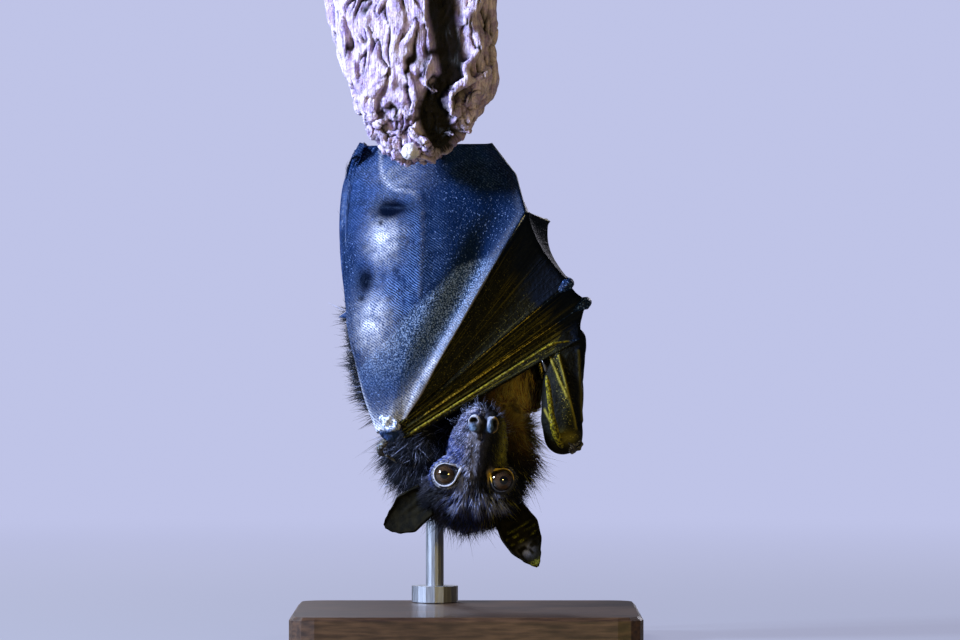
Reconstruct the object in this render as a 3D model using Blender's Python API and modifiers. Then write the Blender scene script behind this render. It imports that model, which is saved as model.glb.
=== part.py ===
"""A fruit bat hanging from its perch, as a life-size museum model.

The bat hangs head down from a gnarled stub of root, facing -Y, with its left
wing folded across its front and the closed right wing beneath. The stub is
held over a flat wooden base by one steel rod behind the bat's back.

Metres, +Z up. The origin is under the middle of the base.
"""

import math

import bmesh
import bpy
from mathutils import Vector, noise

MM = 0.001
GAP = 0.4 * MM  # left between solids that meet

# ------------------------------------------------------------------ sizes
BASE_WIDE = 190 * MM
BASE_DEEP = 180 * MM
BASE_THICK = 18 * MM
BASE_CORNER = 14 * MM
ROD_RADIUS = 5 * MM
COLLAR_RADIUS = 13 * MM
COLLAR_HEIGHT = 9 * MM
MEMBRANE = 1.0 * MM  # thickness of every wing membrane
EAR_WALL = 1.1 * MM
EYE_RADIUS = 7.4 * MM


def at(x, y, z):
    """A point given in millimetres."""
    return Vector((x, y, z)) * MM


# Landmarks of the skeleton, left and right as the bat's own sides.
WRIST = {"left": at(-42, -40, 119), "right": at(58, -27, 110)}
ELBOW = {"left": at(-62, 6, 264), "right": at(22, 17, 256)}
SHOULDER = {"left": at(-46, 11, 136), "right": at(41, 11, 138)}
HIP = {"left": at(-23, -2, 238), "right": at(-3, -2, 238)}
KNEE = {"left": at(-25, -21, 210), "right": at(7, -20, 212)}
ANKLE = {"left": at(-37, -6, 272), "right": at(-9, -6, 272)}
TOES = {"left": at(-38, -5.5, 296), "right": at(-8, -5.5, 296)}

# Left fingers: where they leave the wrist, knuckle, middle joint, tip.
LEFT_FINGERS = {
    5: [at(-38, -41.5, 124), at(32.5, -38, 235), at(44.5, -6, 231), at(35, 34, 236)],
    4: [at(-36, -41.5, 120.5), at(56, -29, 197), at(56, 11, 199), at(36, 39, 212)],
    3: [at(-34.5, -41.5, 117), at(66, -20, 187), at(61.5, 21, 181), at(31, 43, 190)],
    2: [at(-34, -41.5, 113), at(46.5, -34, 164), at(62, -24, 166)],
}
LEADING_EDGE = [at(-33, -41.5, 113), at(62, -24, 166), at(60, 24, 172), at(30, 45, 183)]
# Right fingers stay closed along the flank: from the wrist to the knuckle.
RIGHT_FINGERS = {
    2: [at(50.5, -27.5, 112), at(31, -14, 188)],
    3: [at(51.5, -30.5, 116), at(33.5, -12, 215)],
    4: [at(54, -31, 119), at(37, -8, 220)],
    5: [at(56.5, -29, 121), at(40, -2, 221)],
}

# The head has its own axes: across to the bat's right, towards the nose, and
# out of the crown. They meet just behind the eyes.
HEAD = at(3.8, -30, 90.4)
TO_NOSE = Vector((0.13, -0.60, 0.79)).normalized()
ACROSS = Vector((0.99, 0.07, -0.09))
ACROSS = (ACROSS - TO_NOSE * ACROSS.dot(TO_NOSE)).normalized()
TO_CROWN = ACROSS.cross(TO_NOSE).normalized()

# ------------------------------------------------------------ the scene
for leftover in list(bpy.data.objects):
    bpy.data.objects.remove(leftover)
bat = bpy.data.collections.new("fruit_bat")
helpers = bpy.data.collections.new("cutters")
bpy.context.scene.collection.children.link(bat)
bpy.context.scene.collection.children.link(helpers)


def material(name, colour, roughness, metallic=0.0):
    """A plain finish of one colour."""
    made = bpy.data.materials.new(name)
    made.use_nodes = True
    shader = made.node_tree.nodes["Principled BSDF"]
    shader.inputs["Base Color"].default_value = (*colour, 1)
    shader.inputs["Roughness"].default_value = roughness
    shader.inputs["Metallic"].default_value = metallic
    return made


FUR = material("black_fur", (0.020, 0.019, 0.024), 0.8)
SKIN = material("wing_skin", (0.030, 0.042, 0.075), 0.45)
FINGER = material("finger_skin", (0.075, 0.062, 0.030), 0.5)
EAR_SKIN = material("ear_skin", (0.045, 0.032, 0.024), 0.6)
EYE = material("eye", (0.110, 0.055, 0.020), 0.08)
CLAW = material("claw", (0.035, 0.030, 0.028), 0.35)
ROOT = material("root_bark", (0.420, 0.380, 0.460), 0.9)
WOOD = material("stand_wood", (0.120, 0.065, 0.035), 0.45)
STEEL = material("stand_steel", (0.320, 0.320, 0.330), 0.35, 1.0)


def shown(name, mesh, finish, hidden=False):
    """Adds the mesh to the bat, or to the hidden helpers."""
    made = bpy.data.objects.new(name, mesh)
    mesh.materials.append(finish)
    (helpers if hidden else bat).objects.link(made)
    if hidden:
        made.hide_render = True
        made.display_type = "WIRE"
    return made


# ------------------------------------------------------------ the tools
def mix(a, b, share):
    """The value that lies this share of the way from a to b."""
    return a + (b - a) * share


def ramp(stations):
    """A smooth function through (place, value...) stations, in order."""

    def value(place):
        place = min(max(place, stations[0][0]), stations[-1][0])
        for low, high in zip(stations, stations[1:]):
            if place <= high[0]:
                break
        share = (place - low[0]) / (high[0] - low[0])
        eased = share * share * (3 - 2 * share)
        blend = mix(share, eased, 0.6)
        return [mix(a, b, blend) for a, b in zip(low[1:], high[1:])]

    return value


def path_through(points, corner=0.0):
    """A path along straight bones, its bends rounded over the length corner."""
    line = [points[0]]
    for before, bend, after in zip(points, points[1:], points[2:]):
        start = bend + (before - bend).normalized() * corner
        end = bend + (after - bend).normalized() * corner
        for step in range(7):
            share = step / 6
            line.append(mix(mix(start, bend, share), mix(bend, end, share), share))
    line.append(points[-1])
    return measured(line)


def curve_through(points):
    """A path that curves smoothly through the points (Catmull-Rom)."""
    ends = [points[0] * 2 - points[1], *points, points[-1] * 2 - points[-2]]
    line = []
    for a, b, c, d in zip(ends, ends[1:], ends[2:], ends[3:]):
        for step in range(8):
            t = step / 8
            line.append(
                0.5 * (2 * b + (c - a) * t + (2 * a - 5 * b + 4 * c - d) * t**2
                       + (3 * b - 3 * c + d - a) * t**3)
            )
    line.append(points[-1])
    return measured(line)


def measured(line):
    """Turns a row of points into a function of the share of its length."""
    reach = [0.0]
    for a, b in zip(line, line[1:]):
        reach.append(reach[-1] + (b - a).length)

    def place(share):
        wanted = min(max(share, 0.0), 1.0) * reach[-1]
        i = next(n for n in range(1, len(reach)) if wanted <= reach[n] or n == len(reach) - 1)
        span = max(reach[i] - reach[i - 1], 1e-9)
        return mix(line[i - 1], line[i], (wanted - reach[i - 1]) / span)

    return place


def form(name, place, rings, segments, finish, hidden=False):
    """A closed soft form: a sphere whose points place(along, angle) sets."""
    made = bmesh.new()
    bmesh.ops.create_uvsphere(made, u_segments=segments, v_segments=rings, radius=1)
    for corner in made.verts:
        x, y, z = corner.co
        corner.co = place((1 - z) / 2, math.atan2(y, x))
    if made.calc_volume(signed=True) < 0:
        bmesh.ops.reverse_faces(made, faces=made.faces)
    mesh = bpy.data.meshes.new(name)
    made.to_mesh(mesh)
    made.free()
    mesh.shade_smooth()
    return shown(name, mesh, finish, hidden)


def limb(name, path, radii, rings, segments, finish, blunt=8, front=Vector((0, -1, 0)),
         hidden=False):
    """A form along a path. radii(along) gives its half-widths across and to the front."""

    def place(along, angle):
        wide, deep = radii(along)
        full = math.sqrt(max(0.0, 1 - abs(2 * along - 1) ** blunt))
        tangent = (path(along + 0.02) - path(along - 0.02)).normalized()
        side = tangent.cross(front).normalized()
        forward = side.cross(tangent)
        return path(along) + (side * wide * math.cos(angle)
                              + forward * deep * math.sin(angle)) * full

    return form(name, place, rings, segments, finish, hidden)


def round_limb(name, path, stations, rings, segments, finish, **more):
    """A limb of round section, its radius in millimetres at each station."""
    radius = ramp(stations)
    return limb(name, path, lambda s: [radius(s)[0] * MM] * 2, rings, segments, finish, **more)


def sheet(name, place, across, along, finish, thick=MEMBRANE):
    """A thin closed skin: a grid that place(u, v) sets, given its thickness."""
    made = bmesh.new()
    bmesh.ops.create_grid(made, x_segments=across, y_segments=along, size=0.5)
    for corner in made.verts:
        corner.co = place(corner.co.x + 0.5, corner.co.y + 0.5)
    mesh = bpy.data.meshes.new(name)
    made.to_mesh(mesh)
    made.free()
    mesh.shade_smooth()
    skin = shown(name, mesh, finish)
    wall = skin.modifiers.new("thickness", "SOLIDIFY")
    wall.thickness = thick
    wall.offset = 0
    return skin


def grown(piece, by):
    """A hidden copy of a piece, swollen on all sides, to cut its neighbours with."""
    mesh = piece.data.copy()
    for corner, normal in zip(mesh.vertices, [v.normal.copy() for v in mesh.vertices]):
        corner.co += normal * by
    return shown(piece.name + "_cutter", mesh, piece.data.materials[0], hidden=True)


def cut(target, *pieces, by=GAP):
    """Cuts each piece, swollen by the gap, out of the target."""
    for piece in pieces:
        hollow = target.modifiers.new("cut", "BOOLEAN")
        hollow.operation = "DIFFERENCE"
        hollow.object = grown(piece, by)


def fuse(target, pieces):
    """Joins hidden pieces to the target, as one body."""
    for piece in pieces:
        join = target.modifiers.new("join", "BOOLEAN")
        join.operation = "UNION"
        join.object = piece


# ------------------------------------------------------------ the trunk
# Height in mm, then the middle's x and y, the half-width, and the depth in
# front of and behind the middle, all out to the tips of the fur.
TRUNK = ramp([
    (118, 6, 10, 30, 24, 26),
    (132, 5, 9, 42, 33, 31),
    (150, 3, 7, 43, 34, 33),
    (180, -2, 5, 38, 32, 34),
    (215, -8, 4, 36, 31, 32),
    (243, -12, 3, 31, 27, 28),
    (266, -15, 2, 20, 19, 20),
])
TRUNK_LOW, TRUNK_HIGH = 118, 266


def oval(profile, low, high, blunt):
    """A place function for an upright form whose ends round off."""

    def place(along, angle):
        height = mix(high, low, along)
        x, y, wide, fore, aft = profile(height)
        full = math.sqrt(max(0.0, 1 - abs(2 * along - 1) ** blunt))
        deep = fore if math.sin(angle) < 0 else aft
        return at(x + wide * math.cos(angle) * full, y + deep * math.sin(angle) * full, height)

    return place


trunk = form("trunk", oval(TRUNK, TRUNK_LOW, TRUNK_HIGH, 5), 10, 16, FUR)

# The neck's ruff of long fur, from the shoulders down to the nape.
NECK = ramp([
    (60, 3, 0, 14, 12, 12),
    (72, 2, 2, 28, 19, 21),
    (84, 0, 4, 38, 22, 25),
    (98, -1, 5, 46, 25, 27),
    (114, 0, 8, 47, 27, 29),
    (134, 1, 9, 43, 28, 28),
])
NECK_LOW, NECK_HIGH = 60, 134
neck = form("neck", oval(NECK, NECK_LOW, NECK_HIGH, 4), 10, 18, FUR)

# ------------------------------------------------------------ the head
# Distance towards the nose in mm, then the half-width, the height above the
# line of the eyes and the depth below it.
SKULL = ramp([
    (-31, 16, 9, 10),
    (-22, 22, 12.5, 14),
    (-9, 26, 14.5, 17),
    (1, 24, 12, 17.5),
    (10, 18.5, 9, 15),
    (18, 15.5, 7.2, 12.5),
    (28, 13.5, 6.0, 10.5),
    (38, 11, 4.6, 9.5),
])
SKULL_BACK, SKULL_FRONT = -32, 40


def in_head(across, nose, crown):
    """A point given in millimetres along the head's own axes."""
    return HEAD + (ACROSS * across + TO_NOSE * nose + TO_CROWN * crown) * MM


def head_place(along, angle):
    nose = mix(SKULL_FRONT, SKULL_BACK, along)
    wide, above, below = SKULL(nose)
    full = math.sqrt(max(0.0, 1 - abs(2 * along - 1) ** 5))
    high = above if math.sin(angle) > 0 else below
    return in_head(wide * math.cos(angle) * full, nose, high * math.sin(angle) * full)


head = form("head", head_place, 14, 16, FUR)

EYE_PLACE = {"left": in_head(-15.4, 4.6, 4.6), "right": in_head(15.4, 4.6, 4.6)}
eyes = []
for side, place in EYE_PLACE.items():
    eyes.append(form(
        f"eye_{side}",
        lambda along, angle, middle=place: middle + EYE_RADIUS * Vector((
            math.sin(math.pi * along) * math.cos(angle),
            math.sin(math.pi * along) * math.sin(angle),
            math.cos(math.pi * along),
        )),
        8, 12, EYE,
    ))

# Two short tubes at the tip of the nose, each with its nostril.
NOSTRIL_OUT = 5.2
nostril_tubes = []
nostril_holes = []
for way in (-1, 1):
    inner = in_head(way * NOSTRIL_OUT * 0.8, 32, 1.5)
    rim = in_head(way * NOSTRIL_OUT * 1.1, 42.5, 4.4)
    nostril_tubes.append(round_limb(
        f"nostril_{way}", measured([inner, rim]), [(0, 3.6), (1, 3.3)], 5, 8, FUR,
        hidden=True))
    nostril_holes.append(round_limb(
        f"nostril_hole_{way}", measured([mix(inner, rim, 0.6), rim + (rim - inner) * 0.4]),
        [(0, 1.5), (1, 1.7)], 4, 6, FUR, hidden=True))
fuse(head, nostril_tubes)
for hole in nostril_holes:
    bore = head.modifiers.new("nostril", "BOOLEAN")
    bore.operation = "DIFFERENCE"
    bore.object = hole

# The lower jaw closes under the muzzle: distance towards the nose in mm, then
# the half-width and the heights above and below its own middle line.
JAW = ramp([
    (-12, 12, 6, 7),
    (4, 14, 6, 7),
    (20, 12.0, 5.5, 6),
    (36, 9.5, 4.5, 6),
])
JAW_DROP = ramp([(-14, -16), (10, -15), (39, -13)])


def jaw_place(along, angle):
    nose = mix(41, -14, along)
    wide, above, below = JAW(nose)
    drop = JAW_DROP(nose)[0]
    full = math.sqrt(max(0.0, 1 - abs(2 * along - 1) ** 4))
    high = above if math.sin(angle) > 0 else below
    return in_head(wide * math.cos(angle) * full, nose, drop + high * math.sin(angle) * full)


jaw = form("jaw", jaw_place, 8, 12, FUR)


# An ear is a leaf of skin, rolled into a funnel at its foot and open to the
# front. Each is given by its foot, tip, the way its opening looks, and sizes.
def ear(name, foot, tip, looks, wide, curl):
    spine = tip - foot
    length = spine.length
    spine = spine.normalized()
    looks = (looks - spine * looks.dot(spine)).normalized()
    across = spine.cross(looks)
    width = ramp([(0, 0.62), (0.25, 0.95), (0.5, 1.0), (0.75, 0.72), (0.92, 0.34), (1, 0.06)])

    def place(u, v):
        swing = (u - 0.5) * 2
        half = wide / 2 * width(v)[0]
        roll = curl * mix(1.0, 0.35, v)
        bend = swing * roll
        reach = half / roll
        back = length * 0.10 * math.sin(math.pi * v)
        return (foot + spine * length * v + across * reach * math.sin(bend)
                + looks * (reach * (1 - math.cos(bend)) - back))

    return sheet(name, place, 5, 7, EAR_SKIN, EAR_WALL)


ears = [
    ear("ear_left", in_head(-23.5, -17, 1), at(-45, -14, 64.5), Vector((-0.2, -1, 0.15)),
        21 * MM, 1.15),
    ear("ear_right", in_head(18.5, -20, 3), at(39, -18, 42), Vector((0.1, -1, 0.1)),
        22 * MM, 1.2),
]

# ------------------------------------------------------------ the legs
legs = []
thighs = []
feet = []
claws = []
for side in ("left", "right"):
    thigh = round_limb(
        f"thigh_{side}", measured([HIP[side], KNEE[side] + at(0, 4, 4)]),
        [(0, 11), (0.5, 8.5), (1, 6.5)], 6, 10, FUR, front=Vector((1, 0, 0)))
    thighs.append(thigh)
    leg = round_limb(
        f"shank_{side}", measured([KNEE[side], ANKLE[side]]),
        [(0, 5.0), (0.12, 5.2), (0.5, 3.8), (0.9, 2.9), (1, 3.1)], 8, 8, FUR)
    cut(thigh, leg)
    legs.append(leg)
    foot = round_limb(
        f"foot_{side}", measured([ANKLE[side] + at(0, 0.4, -1), TOES[side]]),
        [(0, 3.0), (0.6, 3.8), (1, 3.6)], 6, 8, SKIN)
    toes = []
    for count in range(5):
        spread = (count - 2) * 2.8
        root = TOES[side] + at(spread * 0.75, 0, -3)
        knuckle = TOES[side] + at(spread * 1.5, 0.3, 6)
        tip = TOES[side] + at(spread * 1.8, -1.8, 10.5)
        toes.append(round_limb(
            f"toe_{side}_{count}", curve_through([root, knuckle, tip]),
            [(0, 1.7), (0.5, 1.5), (1, 1.2)], 4, 6, SKIN, hidden=True,
            front=Vector((1, 0, 0))))
        claws.append(round_limb(
            f"claw_{side}_{count}",
            curve_through([tip + at(0, -0.9, 0.9), tip + at(0, -5, 3), tip + at(0, -9.5, 0.8)]),
            [(0, 1.0), (0.5, 0.8), (1, 0.35)], 4, 5, CLAW, front=Vector((1, 0, 0))))
    fuse(foot, toes)
    feet.append((foot, toes))

# ------------------------------------------------------------ the arms
ARM_BENDS = {
    "left": [at(-53, 15, 172), at(-59, 13, 220)],
    "right": [at(41, 15, 180), at(32, 17, 220)],
}
FOREARM_BENDS = {
    "left": [at(-50, -31, 145), at(-60.5, -19, 183), at(-64.5, -7, 225)],
    "right": [at(59.5, -20, 143), at(50, -8, 178), at(36, 5, 214)],
}
arms = {}
forearms = {}
forearm_paths = {}
arm_paths = {}
for side in ("left", "right"):
    arm_paths[side] = curve_through([SHOULDER[side], *ARM_BENDS[side], ELBOW[side]])
    arms[side] = round_limb(
        f"upper_arm_{side}", arm_paths[side],
        [(0, 15), (0.3, 11.5), (0.6, 8.5), (1, 6.0)], 9, 12, FUR)
    forearm_paths[side] = curve_through(
        [WRIST[side], *FOREARM_BENDS[side], ELBOW[side] + at(0, 0, -5)])
    forearms[side] = round_limb(
        f"forearm_{side}", forearm_paths[side],
        [(0, 5.6), (0.08, 4.6), (0.3, 3.7), (0.7, 5.2), (0.9, 6.2), (1, 4.2)], 12, 8, SKIN)
    cut(forearms[side], arms[side])

# ------------------------------------------------- the wrists and fingers
WRIST_SIZE = {"left": (6.5, 6.0, 8.0), "right": (6.5, 6.0, 7.5)}
wrists = {}
for side, sizes in WRIST_SIZE.items():
    wrists[side] = form(
        f"wrist_{side}",
        lambda along, angle, middle=WRIST[side], sizes=sizes: middle + at(
            sizes[0] * math.sin(math.pi * along) * math.cos(angle),
            sizes[1] * math.sin(math.pi * along) * math.sin(angle),
            sizes[2] * math.cos(math.pi * along)),
        6, 8, SKIN)
    cut(forearms[side], wrists[side])


def finger_stations(thick, joints):
    """Thick at each joint, slim along each bone."""
    stations = [(0, thick)]
    for joint in joints:
        stations += [(joint - 0.07, thick * 0.75), (joint, thick * 1.3), (joint + 0.05, thick * 0.7)]
    stations.append((1, thick * 0.5))
    return stations


def bone_shares(points):
    """Where along a chain of bones its joints come."""
    spans = [(b - a).length for a, b in zip(points, points[1:])]
    return [sum(spans[: i + 1]) / sum(spans) for i in range(len(spans) - 1)]


FINGER_RADIUS = {2: 1.6, 3: 1.8, 4: 1.8, 5: 1.9}
fingers = {"left": {}, "right": {}}
for number, points in LEFT_FINGERS.items():
    fingers["left"][number] = round_limb(
        f"finger_left_{number}", path_through(points, 4 * MM),
        finger_stations(FINGER_RADIUS[number], bone_shares(points)), 15, 6, FINGER)
for number, points in RIGHT_FINGERS.items():
    fingers["right"][number] = round_limb(
        f"finger_right_{number}", measured(points),
        [(0, 1.5), (0.2, 1.2), (0.85, 1.3), (0.95, 1.8), (1, 1.6)], 8, 6, FINGER)
for side in ("left", "right"):
    for number, finger in fingers[side].items():
        cut(finger, wrists[side])

THUMBS = {
    "left": [at(-43, -36, 112), at(-47, -29, 107), at(-47, -19, 104), at(-45, -14, 103)],
    "right": [at(52, -33, 107), at(47.5, -39, 119), at(44.5, -40.5, 140), at(43.4, -41, 147)],
}
THUMB_CLAWS = {
    "left": [at(-44.4, -12.2, 102.6), at(-41.5, -9.0, 101.2), at(-38, -9.5, 98)],
    "right": [at(43.3, -41.2, 148.6), at(42.5, -42.5, 152), at(40.6, -41.5, 155.5)],
}
for side, points in THUMBS.items():
    thumb = round_limb(
        f"thumb_{side}", curve_through(points),
        [(0, 2.6), (0.3, 2.5), (0.5, 1.9), (0.8, 1.7), (1, 1.4)], 9, 6, FINGER)
    cut(thumb, wrists[side])
    claws.append(round_limb(
        f"claw_thumb_{side}", curve_through(THUMB_CLAWS[side]),
        [(0, 1.1), (0.5, 0.9), (1, 0.4)], 5, 6, CLAW))

# ---------------------------------------------------------- the membranes
BODY_AXIS = ramp([(110, 6, 4), (180, -2, 3), (262, -15, 2)])


def outward_at(point):
    """The level direction away from the middle of the body."""
    x, y = BODY_AXIS(point.z / MM)
    away = Vector((point.x - x * MM, point.y - y * MM, 0))
    return away.normalized()


def between(first, second, inset_first, inset_second, swell, from_v, to_v):
    """A membrane between two paths, clear of both, swelling out or in between them."""

    def place(u, v):
        share = mix(from_v, to_v, v)
        a, b = first(share), second(share)
        span = b - a
        a = a + span.normalized() * inset_first(share)
        b = b - span.normalized() * inset_second(share)
        middle = mix(a, b, u)
        return middle + outward_at(middle) * swell(u, v) * MM

    return place


def jointed(points):
    """A path of straight bones in which each bone takes an equal share."""

    def place(share):
        reach = min(max(share, 0), 1) * (len(points) - 1)
        i = min(int(reach), len(points) - 2)
        return mix(points[i], points[i + 1], reach - i)

    return place


def clear_of(radius):
    return lambda share: radius * MM + GAP


# Side membrane of the left wing: forearm to little finger, over the belly.
# Its upper edge curls back over the legs.
forearm_line = curve_through(
    [WRIST["left"], *FOREARM_BENDS["left"], at(-62, 0, 257), at(-56, -13, 272)])
little_line = measured([WRIST["left"], LEFT_FINGERS[5][1], at(27, -30, 256), at(13, -24, 273)])
stretched = between(
    forearm_line, little_line, clear_of(6.4), clear_of(2.6),
    lambda u, v: 16 * math.sin(math.pi * u ** 0.8) ** 0.7 * math.sin(math.pi * min(1, 0.1 + v * 0.7)),
    0.12, 1.0)
CURL_FROM = 0.82


def front_place(u, v):
    curl = max(0.0, v - CURL_FROM) / (1 - CURL_FROM)
    return stretched(u, v) + at(0, 9 * curl * curl * math.sin(math.pi * u) ** 0.7, 0)


front = sheet("membrane_left_front", front_place, 8, 10, SKIN)
cut(front, forearms["left"], fingers["left"][5])

# Webs of the left hand, which wraps round the bat's right flank to its back.
HAND_WEBS = [
    ("web_left_4_5", LEFT_FINGERS[5], LEFT_FINGERS[4], 0.10, -2.0),
    ("web_left_3_4", LEFT_FINGERS[4], LEFT_FINGERS[3], 0.22, -1.0),
    ("web_left_2_3", LEFT_FINGERS[3], LEADING_EDGE, 0.10, -1.0),
]
webs = {}
for name, upper, lower, start, sag in HAND_WEBS:
    webs[name] = sheet(
        name,
        between(jointed(upper), jointed(lower), clear_of(3.2), clear_of(3.2),
                lambda u, v, sag=sag: sag * math.sin(math.pi * u), start, 0.97),
        2, 12, SKIN)

# Webs of the closed right hand.
for low, high in ((2, 3), (3, 4), (4, 5)):
    name = f"web_right_{low}_{high}"
    webs[name] = sheet(
        name,
        between(measured(RIGHT_FINGERS[low]), measured(RIGHT_FINGERS[high]),
                clear_of(1.9), clear_of(1.9), lambda u, v: 0.0, 0.5, 0.97),
        1, 3, SKIN)
    cut(webs[name], fingers["right"][low], fingers["right"][high])

# Membranes from the flank to the upper arm, seen from behind, and the
# shoulder membranes between upper arm and forearm.
BACK_LINE = {
    "left": [at(-35, 27, 168), at(-34, 29, 215), at(-31, 24, 262)],
    "right": [at(27, 31, 170), at(18, 33, 215), at(3, 26, 262)],
}
SHOULDER_SKIN_FROM = {"left": 0.35, "right": 0.55}
for side in ("left", "right"):
    flank = curve_through(BACK_LINE[side])
    arm = curve_through([
        arm_paths[side](0.30) + at(0, 7, 0), arm_paths[side](0.7) + at(0, 4, 0),
        ELBOW[side] + at(0, 3, 6)])
    name = f"membrane_{side}_back"
    webs[name] = sheet(
        name, between(flank, arm, clear_of(1.0), clear_of(8.5), lambda u, v: 0.0, 0.0, 1.0),
        2, 6, SKIN)
    name = f"membrane_{side}_shoulder"
    webs[name] = sheet(
        name,
        between(lambda s, side=side: arm_paths[side](1 - s),
                lambda s, side=side: forearm_paths[side](1 - s),
                lambda s: mix(10.5, 18, s) * MM, clear_of(7.2), lambda u, v: -1.0,
                SHOULDER_SKIN_FROM[side], 0.9),
        2, 6, SKIN)

# ------------------------------------------------------------ the perch
# Height in mm, the middle's x and y, the half-width and half-depth.
STUB = ramp([
    (259, -26, -51, 6, 5),
    (264, -27, -50, 16, 8),
    (271, -26, -48, 24, 11),
    (281, -26, -44, 30, 15),
    (298, -24, -38, 40, 20),
    (325, -28, -33, 45, 27),
    (362, -30, -30, 48, 29),
])


def knobbly(point, size, height):
    """Moves a point of the root in or out, as bark does."""
    return noise.noise(point / (size * MM)) * height * MM


def stub_place(along, angle):
    height = mix(361, 259.5, along)
    x, y, wide, deep = STUB(height)
    full = math.sqrt(max(0.0, 1 - max(0.0, 2 * along - 1) ** 12)) if along > 0.002 else 0.0
    edge = at(x + wide * math.cos(angle) * full, y + deep * math.sin(angle) * full, height)
    out = Vector((math.cos(angle), math.sin(angle), 0))
    return edge + out * knobbly(edge, 16, 4.5) * (1 if full > 0.3 else 0)


perch = form("perch", stub_place, 12, 16, ROOT)
# The root runs back from the stub, over the bat's feet, to the rod.
RUNNER_PATH = [at(-28, -30, 336), at(-24, 10, 338), at(-18, 50, 336), at(-18, 84, 334)]
runner = limb(
    "root_runner", curve_through(RUNNER_PATH),
    lambda s: (mix(38, 27, s) * MM, mix(22, 19, s) * MM), 7, 10, ROOT, blunt=12,
    front=Vector((0, 0, 1)), hidden=True)
fuse(perch, [runner])

# ------------------------------------------------------------ the stand
ROD_AT = at(-18, 66, 0)
ROD_TOP = 330 * MM

bpy.ops.mesh.primitive_cube_add(size=1, location=(0, 0, BASE_THICK / 2),
                                scale=(BASE_WIDE, BASE_DEEP, BASE_THICK))
base = bpy.context.object
base.name = "stand_base"
bpy.ops.object.transform_apply(location=False, rotation=False, scale=True)
base.data.materials.append(WOOD)
trim = base.modifiers.new("corners", "BEVEL")
trim.width = BASE_CORNER
trim.segments = 3
trim.limit_method = "WEIGHT"
upright = base.data.attributes.new("bevel_weight_edge", "FLOAT", "EDGE")
for edge in base.data.edges:
    ends = [base.data.vertices[i].co for i in edge.vertices]
    upright.data[edge.index].value = 1.0 if abs(ends[0].z - ends[1].z) > BASE_THICK / 2 else 0.0
ease = base.modifiers.new("top_edge", "BEVEL")
ease.width = 2 * MM
ease.segments = 1
ease.limit_method = "ANGLE"
ease.angle_limit = math.radians(60)
for holder in list(base.users_collection):
    holder.objects.unlink(base)
bat.objects.link(base)


def cylinder(name, radius, low, high, finish, hidden=False):
    """An upright round bar on the rod's axis."""
    bar = bmesh.new()
    bmesh.ops.create_cone(bar, cap_ends=True, segments=16, radius1=radius, radius2=radius,
                          depth=high - low)
    mesh = bpy.data.meshes.new(name)
    bar.to_mesh(mesh)
    bar.free()
    mesh.shade_smooth()
    mesh.set_sharp_from_angle(angle=math.radians(40))
    made = shown(name, mesh, finish, hidden)
    made.location = (ROD_AT.x, ROD_AT.y, (low + high) / 2)
    return made


rod = cylinder("stand_rod", ROD_RADIUS, BASE_THICK + GAP, ROD_TOP, STEEL)
collar = cylinder("stand_collar", COLLAR_RADIUS, BASE_THICK + GAP,
                  BASE_THICK + GAP + COLLAR_HEIGHT, STEEL, hidden=True)
fuse(rod, [collar])
socket = cylinder("rod_socket", ROD_RADIUS + GAP, 250 * MM, ROD_TOP + GAP, ROOT, hidden=True)
seat = perch.modifiers.new("socket", "BOOLEAN")
seat.operation = "DIFFERENCE"
seat.object = socket

# ------------------------------------------------------ where pieces meet
for eye in eyes:
    cut(head, eye)
cut(jaw, head)
cut(neck, head, jaw, trunk)
for piece in ears:
    cut(piece, head)
cut(trunk, arms["left"], arms["right"], *legs, *thighs)
cut(neck, arms["left"], arms["right"])
for foot, toes in feet:
    cut(perch, foot, *toes)
for claw in claws:
    if "thumb" not in claw.name:
        cut(perch, claw, by=0.8 * MM)
for leg, (foot, toes) in zip(legs, feet):
    cut(foot, leg)
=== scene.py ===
from math import acos, atan2, cos, exp, hypot, pi, radians, sin, sqrt

import bmesh
import bpy
import numpy as np
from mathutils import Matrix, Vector
from mathutils.bvhtree import BVHTree


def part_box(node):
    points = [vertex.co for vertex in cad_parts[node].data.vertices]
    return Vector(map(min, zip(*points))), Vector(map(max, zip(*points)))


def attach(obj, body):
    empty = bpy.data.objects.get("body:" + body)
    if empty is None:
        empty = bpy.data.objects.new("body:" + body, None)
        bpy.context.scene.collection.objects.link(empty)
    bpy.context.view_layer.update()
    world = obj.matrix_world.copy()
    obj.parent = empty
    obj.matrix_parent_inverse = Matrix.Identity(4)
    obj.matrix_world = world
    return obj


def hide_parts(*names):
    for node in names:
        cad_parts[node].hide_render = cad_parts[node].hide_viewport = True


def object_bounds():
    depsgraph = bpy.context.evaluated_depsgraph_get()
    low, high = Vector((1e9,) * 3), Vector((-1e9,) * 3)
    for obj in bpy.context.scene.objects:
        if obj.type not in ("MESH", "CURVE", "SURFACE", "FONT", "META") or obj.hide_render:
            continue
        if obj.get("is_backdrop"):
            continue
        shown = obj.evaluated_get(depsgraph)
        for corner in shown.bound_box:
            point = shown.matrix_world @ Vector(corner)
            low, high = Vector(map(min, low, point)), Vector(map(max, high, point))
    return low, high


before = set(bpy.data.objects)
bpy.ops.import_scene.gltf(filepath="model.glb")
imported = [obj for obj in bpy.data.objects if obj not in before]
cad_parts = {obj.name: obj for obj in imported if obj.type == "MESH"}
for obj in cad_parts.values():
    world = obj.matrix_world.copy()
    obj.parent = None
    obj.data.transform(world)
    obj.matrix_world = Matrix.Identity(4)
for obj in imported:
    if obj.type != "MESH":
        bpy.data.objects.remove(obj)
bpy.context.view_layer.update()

# ------------------------------------------------------------------ the stand
# A flat block of dark oiled hardwood with one brushed steel rod, which screws
# into the base through a collar and plugs into the back of the root.
MM = 0.001


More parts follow.
